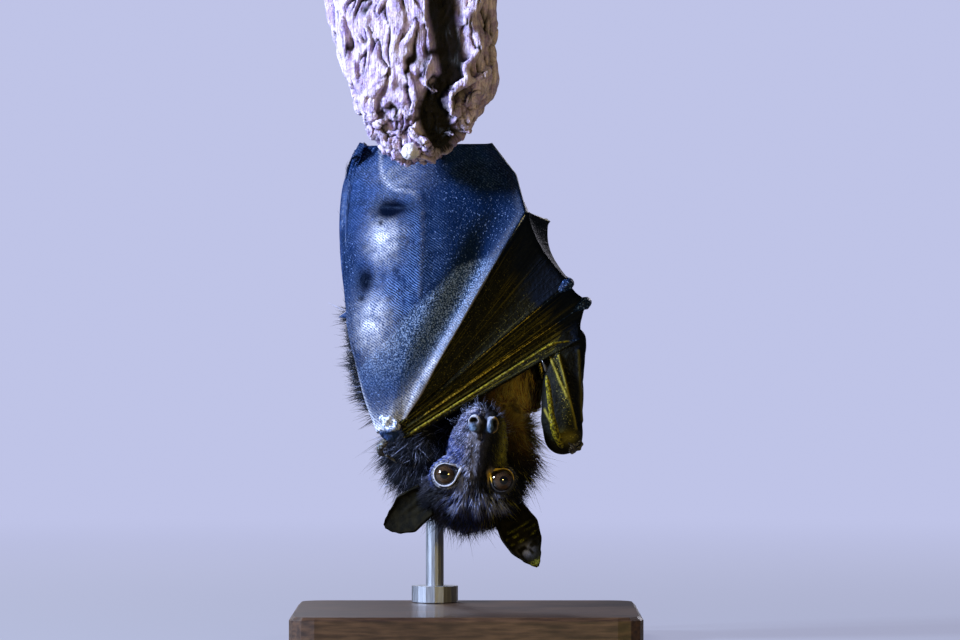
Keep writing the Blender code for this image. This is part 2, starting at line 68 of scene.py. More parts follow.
def add_node(tree, kind, inputs=(), **settings):
    """A node with its settings, and a number or another node's socket for each input."""
    made = tree.nodes.new(kind)
    for name, value in settings.items():
        setattr(made, name, value)
    for name, value in dict(inputs).items():
        if isinstance(value, bpy.types.NodeSocket):
            tree.links.new(value, made.inputs[name])
        else:
            made.inputs[name].default_value = value
    return made


def pattern(name, texture, size, low, high, stretch=(1, 1, 1), **detail):
    """A node group that gives a texture, its size in millimetres, as a value from 0 to 1."""
    tree = bpy.data.node_groups.new(name, "ShaderNodeTree")
    for label, default in (("Size", size), ("Low", low), ("High", high)):
        socket = tree.interface.new_socket(label, in_out="INPUT", socket_type="NodeSocketFloat")
        socket.default_value = default
    tree.interface.new_socket("Value", in_out="OUTPUT", socket_type="NodeSocketFloat")
    start = add_node(tree, "NodeGroupInput").outputs
    place = add_node(tree, "ShaderNodeTexCoord").outputs["Object"]
    place = add_node(tree, "ShaderNodeMapping", {"Vector": place, "Scale": stretch}).outputs["Vector"]
    rate = add_node(tree, "ShaderNodeMath", {0: 1 / MM, 1: start["Size"]}, operation="DIVIDE").outputs[0]
    found = add_node(tree, texture, {"Vector": place, "Scale": rate, **detail}).outputs[0]
    limits = {"Value": found, "From Min": start["Low"], "From Max": start["High"]}
    value = add_node(tree, "ShaderNodeMapRange", limits, interpolation_type="SMOOTHSTEP").outputs["Result"]
    add_node(tree, "NodeGroupOutput", {"Value": value})
    return tree


MOTTLE = pattern("mottle", "ShaderNodeTexNoise", 9, 0.35, 0.65, Detail=4)
GRAIN = pattern("grain", "ShaderNodeTexNoise", 3, 0.3, 0.7, stretch=(0.12, 1, 1), Detail=5)
UPRIGHT_GRAIN = pattern("upright_grain", "ShaderNodeTexNoise", 3, 0.3, 0.7, stretch=(1, 1, 0.05), Detail=5)


class Finish:
    """A material in the making. Each value it is given may be a number, a colour, a socket,
    the name of a value painted on the piece, or a pattern with its size, low and high."""

    def __init__(self, name, roughness, **settings):
        self.material = bpy.data.materials.new(name)
        self.material.use_nodes = True
        self.tree = self.material.node_tree
        self.shader = self.tree.nodes["Principled BSDF"].inputs
        self.shader["Roughness"].default_value = roughness
        for socket, value in settings.items():
            self.shader[socket.replace("_", " ")].default_value = value

    def value(self, given):
        """What is given, as a plain value or a socket."""
        if isinstance(given, str):
            return add_node(self.tree, "ShaderNodeAttribute", attribute_name=given).outputs["Fac"]
        if not isinstance(given, tuple):
            return given
        if isinstance(given[0], bpy.types.NodeTree):
            inputs = dict(zip(("Size", "Low", "High"), given[1:]))
            return add_node(self.tree, "ShaderNodeGroup", inputs, node_tree=given[0]).outputs["Value"]
        return (*given, 1)

    def blend(self, share, first, second):
        """The colour that lies this share of the way from the first to the second."""
        inputs = {"Factor": self.value(share), "A": self.value(first), "B": self.value(second)}
        return add_node(self.tree, "ShaderNodeMix", inputs, data_type="RGBA").outputs["Result"]

    def marked(self, base, **marks):
        """A colour with others laid over it, each where its mark is painted, in order."""
        for mark, colour in marks.items():
            base = self.blend(mark, base, colour)
        return base

    def sum(self, operation, first, second):
        """One step of arithmetic on two values."""
        inputs = {0: self.value(first), 1: self.value(second)}
        return add_node(self.tree, "ShaderNodeMath", inputs, operation=operation).outputs[0]

    def span(self, value, low, high, kind="LINEAR", to_low=0.0, to_high=1.0):
        """How far the value lies from low to high, on a scale of its own."""
        inputs = {"Value": self.value(value), "From Min": low, "From Max": high,
                  "To Min": to_low, "To Max": to_high}
        return add_node(self.tree, "ShaderNodeMapRange", inputs, interpolation_type=kind).outputs["Result"]

    def colour(self, value):
        """Gives the material its colour."""
        self.tree.links.new(value, self.shader["Base Color"])

    def relief(self, height, depth, before=None):
        """Bumps of that depth in millimetres, over earlier ones where given."""
        inputs = {"Height": self.value(height), "Distance": depth * MM, "Strength": 1.0}
        if before is not None:
            inputs["Normal"] = before
        bumps = add_node(self.tree, "ShaderNodeBump", inputs).outputs["Normal"]
        self.tree.links.new(bumps, self.shader["Normal"])
        return bumps


def repaint(node, finish):
    """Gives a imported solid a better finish."""
    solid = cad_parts[node]
    solid.data.materials.clear()
    solid.data.materials.append(finish.material)


wood = Finish("oiled_wood", 0.42, Coat_Weight=0.25)
streaks = (GRAIN, 2.2, 0.3, 0.7)
wood.colour(wood.blend((MOTTLE, 30), wood.blend(streaks, (0.030, 0.014, 0.008), (0.085, 0.040, 0.020)),
                       wood.blend(streaks, (0.045, 0.021, 0.011), (0.120, 0.060, 0.030))))
wood.relief(streaks, 0.04)
repaint("stand_base", wood)

steel = Finish("brushed_steel", 0.34, Metallic=1.0)
brushing = (UPRIGHT_GRAIN, 0.9, 0.3, 0.7)
steel.colour(steel.blend(brushing, (0.26, 0.26, 0.28), (0.40, 0.40, 0.42)))
unevenness = steel.sum("ADD", steel.sum("MULTIPLY", brushing, 0.15), 0.5)
steel.tree.links.new(unevenness, steel.shader["Roughness"])
steel.relief(brushing, 0.03)
repaint("stand_rod", steel)


# ------------------------------------------------------------------ the perch
# A cut length of old root: weathered lavender-grey bark, fluted lengthways and
# split by crevices, with pebbly lumps towards its lower end. The crevices and the
# deep hollow are painted near-black, as painted shade.
def at(x, y, z):
    """A point given in millimetres."""
    return Vector((x, y, z)) * MM


def alone(*pieces):
    """Selects these pieces and nothing else, the first one active."""
    bpy.ops.object.select_all(action="DESELECT")
    for piece in pieces:
        piece.select_set(True)
    bpy.context.view_layer.objects.active = pieces[0]


def joined(name, pieces):
    """Joins loose pieces into one object."""
    alone(*pieces)
    bpy.ops.object.join()
    pieces[0].name = name
    return pieces[0]


def finish_modifier(piece, kind, **settings):
    """Adds a modifier and applies it."""
    alone(piece)
    made = piece.modifiers.new(kind.lower(), kind)
    for name, value in settings.items():
        setattr(made, name, value)
    bpy.ops.object.modifier_apply(modifier=made.name)


def fused(piece, voxel, rounds):
    """Fuses a piece's overlapping forms into one skin, in steps of this many millimetres."""
    finish_modifier(piece, "REMESH", mode="VOXEL", voxel_size=voxel * MM)
    finish_modifier(piece, "SMOOTH", factor=0.5, iterations=rounds)


def copied(node, name):
    """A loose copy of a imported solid, its points merged, to shape further."""
    piece = bpy.data.objects.new(name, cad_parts[node].data.copy())
    bpy.context.scene.collection.objects.link(piece)
    made = bmesh.new()
    made.from_mesh(piece.data)
    bmesh.ops.remove_doubles(made, verts=made.verts, dist=0.02 * MM)
    made.to_mesh(piece.data)
    made.free()
    piece.data.materials.clear()
    for layer in list(piece.data.uv_layers):
        piece.data.uv_layers.remove(layer)
    return piece


def places_of(mesh, kind="co"):
    """A mesh's points as rows of numbers."""
    found = np.empty(len(mesh.vertices) * 3, np.float64)
    mesh.vertices.foreach_get(kind, found)
    return found.reshape(-1, 3)


def normals_of(mesh):
    """The way each point of a mesh faces."""
    return places_of(mesh, "normal")


def put(mesh, points):
    """Moves a mesh's points."""
    mesh.vertices.foreach_set("co", points.astype(np.float32).ravel())
    mesh.update()


def paint(mesh, **marks):
    """Stores each mark as a value on the mesh's points, for the finish to read."""
    for name, values in marks.items():
        layer = mesh.attributes.get(name) or mesh.attributes.new(name, "FLOAT", "POINT")
        layer.data.foreach_set("value", np.asarray(values, np.float32))


def held(value):
    """The value, kept between 0 and 1."""
    return np.clip(value, 0, 1)


def mix(a, b, share):
    """The value that lies this share of the way from a to b."""
    return a + (b - a) * share


def eased(value, low, high):
    """0 below low, 1 above high, and a smooth step between."""
    share = held((value - low) / (high - low))
    return share * share * (3 - 2 * share)


def hill(value, middle, reach):
    """1 at the middle, and falling off smoothly over the reach."""
    return np.exp(-((value - middle) / reach) ** 2)


def mound(x, middle_x, reach_x, z, middle_z, reach_z):
    """A hill over two directions."""
    return np.exp(-((x - middle_x) / reach_x) ** 2 - ((z - middle_z) / reach_z) ** 2)


def ripple(points, size, seed):
    """Smooth waves in space, from -1 to 1, whose hills are about this size in metres."""
    draw = np.random.default_rng(seed)
    total = np.zeros(len(points))
    for _ in range(9):
        direction = draw.normal(size=3)
        direction /= np.linalg.norm(direction)
        rate = 2 * pi / (size * draw.uniform(1.4, 3.2))
        bend = np.sin(points @ draw.normal(size=3) * 0.35 * rate + draw.uniform(0, 7))
        total += np.sin(points @ direction * rate + draw.uniform(0, 7) + 1.3 * bend)
    return np.clip(total / 4.2, -1, 1)


def ramp(stations):
    """A smooth function through (place, value...) stations, in order."""

    def value(place):
        place = min(max(place, stations[0][0]), stations[-1][0])
        for low, high in zip(stations, stations[1:]):
            if place <= high[0]:
                break
        share = (place - low[0]) / (high[0] - low[0])
        blend = mix(share, share * share * (3 - 2 * share), 0.6)
        return [mix(a, b, blend) for a, b in zip(low[1:], high[1:])]

    return value


def measured(line):
    """Turns a row of points into a function of the share of its length."""
    reach = np.concatenate([[0], np.cumsum([(b - a).length for a, b in zip(line, line[1:])])])
    points = np.array(line)

    def place(share):
        wanted = min(max(share, 0.0), 1.0) * reach[-1]
        return Vector([np.interp(wanted, reach, points[:, axis]) for axis in range(3)])

    return place


def curve_through(points):
    """A path that curves smoothly through the points (Catmull-Rom)."""
    ends = [points[0] * 2 - points[1], *points, points[-1] * 2 - points[-2]]
    line = []
    for a, b, c, d in zip(ends, ends[1:], ends[2:], ends[3:]):
        for t in (step / 8 for step in range(8)):
            line.append(0.5 * (2 * b + (c - a) * t + (2 * a - 5 * b + 4 * c - d) * t**2
                               + (3 * b - 3 * c + d - a) * t**3))
    return measured([*line, points[-1]])


def face_outwards():
    """Turns the faces of the active piece outwards."""
    bpy.ops.object.mode_set(mode="EDIT")
    bpy.ops.mesh.select_all(action="SELECT")
    bpy.ops.mesh.normals_make_consistent(inside=False)
    bpy.ops.object.mode_set(mode="OBJECT")


def closed_form(name, place, rings, segments):
    """A closed soft form: a sphere whose points place(along, angle) sets."""
    bpy.ops.object.select_all(action="DESELECT")
    bpy.ops.mesh.primitive_uv_sphere_add(segments=segments, ring_count=rings, radius=1)
    made = bpy.context.object
    made.name = name
    for corner in made.data.vertices:
        x, y, z = corner.co
        corner.co = place((1 - z) / 2, atan2(y, x))
    face_outwards()
    made.data.shade_smooth()
    return made


def limb(name, path, radii, rings, segments, blunt=8, front=Vector((0, -1, 0))):
    """A form along a path. radii(along, angle) gives its radius there."""

    def place(along, angle):
        full = sqrt(max(0.0, 1 - abs(2 * along - 1) ** blunt))
        tangent = (path(along + 0.02) - path(along - 0.02)).normalized()
        side = tangent.cross(front).normalized()
        reach = radii(along, angle) * full
        return path(along) + side * reach * cos(angle) + side.cross(tangent) * reach * sin(angle)

    return closed_form(name, place, rings, segments)


def round_limb(name, path, stations, rings, segments, **more):
    """A limb of round section, its radius in millimetres at each station."""
    radius = ramp(stations)
    return limb(name, path, lambda s, _: radius(s)[0] * MM, rings, segments, **more)


perch = copied("perch", "root_stub")
fused(perch, 1.5, 6)


plain_root = BVHTree.FromPolygons([v.co for v in perch.data.vertices],
                                  [tuple(p.vertices) for p in perch.data.polygons])


def on_front(x, z):
    """Where the front of the root lies at a place in millimetres."""
    return plain_root.ray_cast(at(x, -200, z), Vector((0, 1, 0)))[0] or at(x, -2, z)


def strand(points, thick, out):
    """A rootlet laid over the front of the root, through (x, z) points in millimetres."""
    path = [on_front(x, z) - at(0, out, 0) for x, z in points]
    stations = [(0, thick * 0.7), (0.3, thick), (0.7, thick * 0.85), (1, thick * 0.6)]
    return round_limb("strand", curve_through(path), stations, 60, 14)


# A deep hollow runs down the root, through these (x, z) points. Each rootlet has
# its (x, z) points, its radius, and how far it stands out.
HOLLOW = np.array([(-12, 362), (-12, 340), (-8, 322), (-4.5, 308), (-13, 298), (-18, 288), (-14, 278),
                   (-6, 270)])
STRANDS = [
    ([(3, 345), (5, 336), (7.5, 326), (4, 318), (-0.5, 313), (1, 307), (-6.5, 301), (-8.5, 295),
      (-8, 286)], 2.5, 1.8),
    ([(15, 315), (9, 309), (2, 305), (-5, 302)], 2.1, 2.6),
    ([(10, 352), (5, 346), (1, 338), (6, 331)], 3.8, 1.0),
    ([(10, 300), (3, 299), (0, 293)], 2.2, 1.0),
    ([(-41, 315), (-44, 309), (-50, 303), (-55, 297), (-54, 286)], 2.4, 0.8),
    ([(-36, 313), (-31, 307), (-28, 299), (-29, 291), (-33, 283)], 2.3, 1.0),
    ([(-18, 318), (-22, 312), (-21, 304), (-15, 299)], 2.2, 1.2),
    ([(-61, 318), (-59, 306), (-54, 299), (-47, 302), (-41, 309)], 1.9, 1.2),
    ([(-31, 281), (-26, 275), (-20, 270), (-13, 265)], 3.0, 2.2),
    ([(-70, 346), (-66, 330), (-64, 316), (-62, 304)], 2.4, 1.0),
]
# Round lumps of bark: x, z and the radius.
PEBBLE_X, PEBBLE_Z = -30.5, 267.5
LUMPS = [(PEBBLE_X, PEBBLE_Z, 3.6), (-50, 288, 2.6), (-47, 282, 2.8), (-52, 279, 2.2), (-36, 277, 2.5),
         (-41, 271, 2.1), (-8, 277, 1.9), (-38, 286, 2.6)]
rootlets = [strand(*laid) for laid in STRANDS]
for x, z, size in LUMPS:
    bpy.ops.object.select_all(action="DESELECT")
    bpy.ops.mesh.primitive_uv_sphere_add(segments=20, ring_count=14, radius=size * MM,
                                         location=on_front(x, z) + at(0, 0.4 - size * 0.3, 0))
    bpy.ops.object.transform_apply(location=True)
    rootlets.append(bpy.context.object)
perch = joined("root_stub", [perch, *rootlets])
fused(perch, 0.85, 2)
bark, facing = places_of(perch.data), normals_of(perch.data)
level = bark[:, [0, 2]] / MM


def gap_from(level, first, second):
    """How far each point of a flat row lies from a straight line."""
    span = second - first
    share = held(((level - first) @ span) / (span @ span))
    return np.linalg.norm(level - first - share[:, None] * span, axis=1)


in_hollow = np.min([gap_from(level, first, second) for first, second in zip(HOLLOW, HOLLOW[1:])], axis=0)
from_root = np.array([plain_root.find_nearest(Vector(p))[3] for p in bark]) / MM
proud = held((from_root - 0.8) / 0.8)
pebble = held(5.0 - np.hypot(level[:, 0] - PEBBLE_X, level[:, 1] - PEBBLE_Z)) * (facing[:, 1] < 0.3)
in_hollow = held((10.5 - in_hollow) / 3.5) * (1 - proud)
in_hollow *= (facing[:, 1] < 0.1) * (bark[:, 1] < -18 * MM)
warp = np.stack([ripple(bark, 14 * MM, 70 + i) for i in range(3)], axis=1) * 2.6 * MM
upright, level_way = ((bark + warp) * np.array(way) for way in ((1, 1, 0.20), (1, 0.20, 1)))
on_arm = eased(bark[:, 1] / MM, -14, 0)
low_down = held((0.302 - bark[:, 2]) / 0.025)
plates = mix(ripple(upright, 4.2 * MM, 1), ripple(level_way, 4.2 * MM, 1), on_arm)
strips = mix(ripple(upright, 2.4 * MM, 2), ripple(level_way, 2.4 * MM, 2), on_arm)
lumps = ripple(bark, 3.4 * MM, 3)
slit = hill(plates, -0.05, 0.165) * held(ripple(bark, 11 * MM, 8) + 0.75)
nick = hill(lumps, -0.1, 0.13) * low_down
crevice = held(slit * (1 - 0.5 * low_down) + nick * 0.9)
rise = 1.5 * plates + 0.7 * strips - 3.4 * crevice + lumps * (0.35 + 1.0 * low_down)
rise = rise * (1 - 0.6 * proud) * (1 - 0.9 * pebble) + 0.8 * pebble - in_hollow * (5.5 + 0.8 * lumps)
put(perch.data, bark + facing * (rise * MM)[:, None])
# Painted shade: the crevices and the hollow are marked to be coloured near-black.
paint(perch.data, crevice=held(crevice * 1.6 * (1 - pebble)), pebble=pebble, hollow=in_hollow)
perch.data.shade_smooth()

SPECKS = pattern("specks", "ShaderNodeTexNoise", 1.1, 0.58, 0.70, Detail=2)
root_bark = Finish("root_bark", 0.82)
flecks = (SPECKS, 1.3, 0.5, 0.64)
clouds = (MOTTLE, 6, 0.36, 0.62)
fibres = (UPRIGHT_GRAIN, 1.1, 0.35, 0.65)
pale = root_bark.blend(clouds, (0.56, 0.40, 0.74), (1.0, 0.80, 1.0))
pale = root_bark.blend(root_bark.sum("MULTIPLY", fibres, 0.35), pale, (0.20, 0.12, 0.29))
pale = root_bark.blend(root_bark.sum("MULTIPLY", flecks, 0.35), pale, (0.86, 0.84, 0.92))
# The crevices and the hollow take painted shade, near-black.
root_bark.colour(root_bark.marked(
    pale,
    hollow=root_bark.blend(clouds, (0.0022, 0.0016, 0.0014), (0.013, 0.009, 0.006)),
    pebble=(1.0, 0.93, 1.0),
    crevice=(0.010, 0.006, 0.007)))
root_bark.relief((MOTTLE, 1.8, 0.3, 0.7), 0.45, root_bark.relief(fibres, 0.35))
perch.data.materials.append(root_bark.material)
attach(perch, "root")
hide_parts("perch")


# ------------------------------------------------------------ the body's skin
# The trunk, the neck under its ruff, the arms and the legs are one skin. It
# lies inside the coat by the coat's depth, which is deepest on the ruff.
SIDES = ("left", "right")
WRIST = {"left": at(-42, -40, 119), "right": at(58, -27, 110)}
ELBOW = {"left": at(-62, 6, 264), "right": at(22, 17, 256)}
SHOULDER = {"left": at(-46, 11, 136), "right": at(41, 11, 138)}
HIP = {"left": at(-23, -2, 238), "right": at(-3, -2, 238)}
KNEE = {"left": at(-25, -21, 210), "right": at(7, -20, 212)}
ANKLE = {"left": at(-37, -6, 272), "right": at(-9, -6, 272)}
TOES = {"left": at(-38, -5.5, 296), "right": at(-8, -5.5, 296)}
ARM_BENDS = {
    "left": [at(-53, 15, 172), at(-59, 13, 220)],
    "right": [at(41, 15, 180), at(32, 17, 220)],
}
COAT_DEEP = 5.5  # how far the trunk's skin lies under the tips of the coat
# Height, the middle's x and y, the half-width, and the depth before and behind.
TRUNK = ramp([
    (118, 6, 10, 30, 24, 26),
    (132, 5, 9, 42, 33, 31),
    (150, 3, 7, 43, 34, 33),
    (180, -2, 5, 38, 32, 34),
    (215, -8, 4, 36, 31, 32),
    (243, -12, 3, 31, 27, 28),
    (266, -15, 2, 20, 19, 20),
])
NECK = ramp([
    (60, 3, 0, 14, 12, 12),
    (72, 2, 2, 28, 19, 21),
    (84, -2, 4, 36, 22, 25),
    (98, -4, 5, 43, 25, 27),
    (114, -3, 8, 44, 27, 29),
    (134, 1, 9, 43, 28, 28),
])


def oval(profile, low, high, blunt, deep_coat):
    """A place function for an upright form whose ends round off, as deep as its coat."""

    def place(along, angle):
        height = mix(high, low, along)
        x, y, wide, fore, aft = profile(height)
        full = sqrt(max(0.0, 1 - abs(2 * along - 1) ** blunt))
        deep = (fore if sin(angle) < 0 else aft) - deep_coat
        return at(x + (wide - deep_coat) * cos(angle) * full,
                  y + deep * sin(angle) * full, height)

    return place


flesh = [
    closed_form("trunk_form", oval(TRUNK, 122, 262, 5, COAT_DEEP), 60, 64),
    closed_form("neck_form", oval(NECK, 68, 134, 4, COAT_DEEP + 3), 48, 64),
]
# The breast fills the hollow between the chin and the folded right hand.
flesh.append(round_limb("breast_form", measured([at(31, -4, 150), at(35.5, -8, 126)]),
                        [(0, 5), (0.5, 7.5), (1, 5)], 24, 20))
arm_paths = {}
for side in SIDES:
    arm_paths[side] = curve_through([SHOULDER[side], *ARM_BENDS[side], ELBOW[side]])
    flesh.append(round_limb("arm_form", arm_paths[side],
                            [(0, 12), (0.3, 9), (0.6, 6.5), (1, 5.0)], 40, 24))
    flesh.append(round_limb("thigh_form", measured([HIP[side], KNEE[side] + at(0, 4, 4)]),
                            [(0, 9), (0.5, 7), (1, 5.2)], 24, 20, front=Vector((1, 0, 0))))
    flesh.append(round_limb("shank_form", measured([KNEE[side], ANKLE[side]]),
                            [(0, 4.6), (0.12, 4.8), (0.5, 3.6), (0.9, 2.8), (1, 3.0)], 30, 16))
body = joined("body_skin", flesh)
fused(body, 1.5, 5)
body_points = places_of(body.data)
unevenness = ripple(body_points, 9 * MM, 11) * 0.5 * MM
put(body.data, body_points + normals_of(body.data) * unevenness[:, None])
body.data.shade_smooth()

# The feet are bare skin: a short sole and five toes that hook over the perch.
feet = []
for side in SIDES:
    foot = [round_limb("foot_form", measured([ANKLE[side] + at(0, 0.4, -1), TOES[side]]),
                       [(0, 2.9), (0.6, 3.6), (1, 3.4)], 24, 16)]
    for count in range(5):
        spread = (count - 2) * 2.8
        root = TOES[side] + at(spread * 0.75, 0, -3)
        knuckle = TOES[side] + at(spread * 1.5, 0.3, 6)
        tip = TOES[side] + at(spread * 1.8, -1.8, 10.5)
        foot.append(round_limb("toe_form", curve_through([root, knuckle, tip]),
                               [(0, 1.6), (0.45, 1.5), (0.6, 1.25), (1, 1.1)], 14, 10,
                               front=Vector((1, 0, 0))))
    foot = joined("foot_skin", foot)
    fused(foot, 0.6, 2)
    feet.append(foot)

# ------------------------------------------------------------------- the head
# A broad, dog-like head, seen from above the brow: a rounded muzzle with two
# tube-shaped nostrils, large eyes in thick pale lids, and a bare bridge.
def square_to(vector, axis):
    """The part of a vector that is square to an axis, at length 1."""
    return (vector - axis * vector.dot(axis)).normalized()


EYE_RADIUS = 7.4
EYE_NOSE, EYE_CROWN = 4.6, 4.6
eye_middles = {}
for side in SIDES:
    low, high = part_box(f"eye_{side}")
    eye_middles[side] = (low + high) / 2
TO_NOSE = Vector((0.13, -0.60, 0.79)).normalized()
ACROSS = square_to((eye_middles["right"] - eye_middles["left"]).normalized(), TO_NOSE)
TO_CROWN = ACROSS.cross(TO_NOSE).normalized()
HEAD = (eye_middles["left"] + eye_middles["right"]) / 2 - (TO_CROWN * EYE_CROWN + TO_NOSE * EYE_NOSE) * MM
HEAD_TURN = np.array([ACROSS, TO_NOSE, TO_CROWN])


def in_head(across, nose, crown):
    """A point given in millimetres along the head's own axes."""
    return HEAD + (ACROSS * across + TO_NOSE * nose + TO_CROWN * crown) * MM


def head_sizes(points):
    """World points as millimetres across, towards the nose and towards the crown."""
    return (points - np.array(HEAD)) @ HEAD_TURN.T / MM


# Distance towards the nose, the half-width, and the height above and below.
SKULL = ramp([
    (-31, 13, 7, 8),
    (-22, 19.5, 10.0, 12),
    (-9, 23.5, 12.0, 15.5),
    (1, 21.0, 10.4, 16),
    (10, 16.8, 9.4, 14),
    (18, 14.8, 8.6, 12),
    (28, 13.0, 7.6, 10.2),
    (38, 10.4, 6.0, 8.3),
])
JAW = ramp([(-8, 11, 6, 6), (8, 13.0, 6, 6.2), (22, 11.0, 5.4, 5.6), (36, 6.8, 4.8, 5.0)])
JAW_DROP = ramp([(-14, -15.6), (10, -14.6), (39, -12.6)])


def skull_place(along, angle):
    """The skull and muzzle, from the nose backwards."""
    nose = mix(40, -30.5, along)
    wide, above, below = SKULL(nose)
    full = sqrt(max(0.0, 1 - abs(2 * along - 1) ** 5))
    rise = sin(angle)
    if rise > 0:
        # The muzzle is roofed: its sides slope up to a narrow rounded bridge.
        level = abs(cos(angle))
        roof = 1 - mix(level**1.5, level**0.9, 0.75)
        rise = mix(rise, roof + 0.10 * sin(pi * roof), min(1, max(0, (nose - 1) / 10)))
    high = above if rise > 0 else below
    return in_head(wide * cos(angle) * full, nose, high * rise * full)


def jaw_place(along, angle):
    """The lower jaw, from the chin backwards."""
    nose = mix(40.5, -12, along)
    wide, above, below = JAW(nose)
    full = sqrt(max(0.0, 1 - abs(2 * along - 1) ** 4))
    high = above if sin(angle) > 0 else below
    return in_head(wide * cos(angle) * full, nose,
                   JAW_DROP(nose)[0] + high * sin(angle) * full)


def egg(middle, first, second, third):
    """A soft egg round a point, its three half-axes as vectors."""

    def place(along, angle):
        return (middle + first * sin(pi * along) * cos(angle)
                + second * sin(pi * along) * sin(angle)
                + third * cos(pi * along))

    return closed_form("egg_form", place, 16, 20)


def blob(middle, half_sizes):
    """An egg along the head's axes: its middle and half-sizes in millimetres."""
    a, n, c = half_sizes
    return egg(in_head(*middle), ACROSS * a * MM, TO_NOSE * n * MM, TO_CROWN * c * MM)


def ring(centre, first, second, tube, segments=40):
    """A closed ring of flesh round an oval opening, its radii as two vectors."""
    points = []
    for step in range(segments + 1):
        angle = 2 * pi * step / segments
        points.append(centre + first * cos(angle) + second * sin(angle))
    return limb("rim_form", measured(points), lambda s, _: tube * MM, 60, 10, blunt=60,
                front=first.cross(second).normalized())


NOSTRIL = {}
muzzle_parts = [
    closed_form("skull_form", skull_place, 90, 96),
    closed_form("jaw_form", jaw_place, 60, 64),
    blob((0, 39.0, -4.0), (9.4, 5.2, 6.4)),
    blob((0, 36.5, -12.0), (7.4, 5.2, 5.4)),
    blob((0, 34, 1.5), (5.2, 8, 4.8)),
]
for side, way in (("left", -1), ("right", 1)):
    turned = 0.30 if side == "left" else 0.42
    outwards = (TO_NOSE * 0.52 + TO_CROWN * 0.80 + ACROSS * way * turned).normalized()
    rim = in_head(way * 5.5, 42.4, 5.4)
    spread = square_to(ACROSS * way, outwards)
    upright = TO_CROWN - outwards * TO_CROWN.dot(outwards)
    upright = (upright - spread * upright.dot(spread)).normalized()
    NOSTRIL[side] = {"rim": rim, "out": outwards, "spread": spread, "up": upright}
    # The nostril's tube and its lip, then the flesh that rounds the side of the muzzle,
    # the brow over the eye and the cheek.
    muzzle_parts += [
        egg(rim - outwards * 3.2 * MM + upright * 0.2 * MM, spread * 3.3 * MM, upright * 4.8 * MM,
            outwards * 3.8 * MM),
        ring(rim - outwards * 0.9 * MM, spread * 2.5 * MM, upright * 3.9 * MM, 0.95),
        blob((way * 7.0, 31, -5.5), (6.0, 9.0, 6.0)),
        blob((way * 10.8, 18, -7.5), (4.8, 12, 6.0)),
        blob((way * 14.5, 1.6, 2.2), (9.0, 9.2, 7.4)),
        blob((way * 16.5, -10, -2), (7.6, 9.6, 9.6)),
    ]
head = joined("head_skin", muzzle_parts)
fused(head, 0.58, 2)

# Where each eye looks, and the half-width and half-height of its opening.
GAZE = {"left": Vector((-0.14, -0.975, 0.02)).normalized(),
        "right": Vector((0.26, -0.96, 0.02)).normalized()}
LID_OPEN = {"left": (5.9, 5.9), "right": (5.7, 6.1)}
# The corner's way across and towards the nose, and how far off it lies.
CORNER = {"left": (0.78, 0.65, 9.4), "right": (-0.72, 0.62, 8.7)}
LID_SOFT = 1.0  # how thick the flesh of the lid lies over the eye


def eye_frame(side):
    """The eye's middle, where it looks, its corner's way towards the nose, and up."""
    gaze = GAZE[side]
    way, rise, _ = CORNER[side]
    inward = square_to(ACROSS * way + TO_NOSE * rise, gaze)
    up = inward.cross(gaze).normalized()
    middle = eye_middles[side] - (ACROSS * 1.3 * MM if side == "right" else Vector())
    return middle, gaze, inward, up if up.dot(TO_NOSE) > 0 else -up


def lid_reach(side, angle):
    """How far the opening reaches from the gaze, in millimetres, drawn out at the corner."""
    wide, tall = LID_OPEN[side]
    round_reach = 1 / sqrt((cos(angle) / wide) ** 2 + (sin(angle) / tall) ** 2)
    turned = acos(round_reach / CORNER[side][2]) - abs(atan2(sin(angle), cos(angle)))
    return round_reach / cos(max(0.0, turned))


# The flesh is sunk behind each eye's opening, and raised round it to a soft lid with
# low folds. The left lid's edge is pale; the right one's is left dark, as painted shade.
flesh_points = places_of(head.data)
pale, fold = np.zeros(len(flesh_points)), np.zeros(len(flesh_points))
for side in SIDES:
    middle, gaze, inward, up = eye_frame(side)
    away = flesh_points - np.array(middle)
    reach = np.linalg.norm(away, axis=1) / MM
    depth = away @ np.array(gaze) / MM
    level = np.stack([away @ np.array(inward), away @ np.array(up)], axis=1) / MM
    spin = np.arctan2(level[:, 1], level[:, 0])
    opening = np.array([lid_reach(side, a) for a in spin])
    off = np.linalg.norm(level, axis=1)
    near = (reach < EYE_RADIUS + 5) & (depth > -2)
    inside = near & (off < opening)
    lid = near & ~inside
    target = np.where(inside, EYE_RADIUS - 1.6, EYE_RADIUS + LID_SOFT)
    moved = np.where(inside, target, np.maximum(reach, target))
    scale = np.where(near, moved / np.maximum(reach, 0.01), 1.0)
    flesh_points = np.array(middle) + away * scale[:, None]
    beyond = off - opening
    pale = np.maximum(pale, np.where(lid, held(1 - beyond / 0.3), 0)
                      * (reach < EYE_RADIUS + 2.2) * (0.7 if side == "left" else 0.0))
    for away_from_rim in (2.1, 3.6, 5.2):
        fold += np.where(near | (reach < EYE_RADIUS + 6), hill(beyond, away_from_rim, 0.45), 0)
put(head.data, flesh_points)
finish_modifier(head, "SMOOTH", factor=0.4, iterations=1)

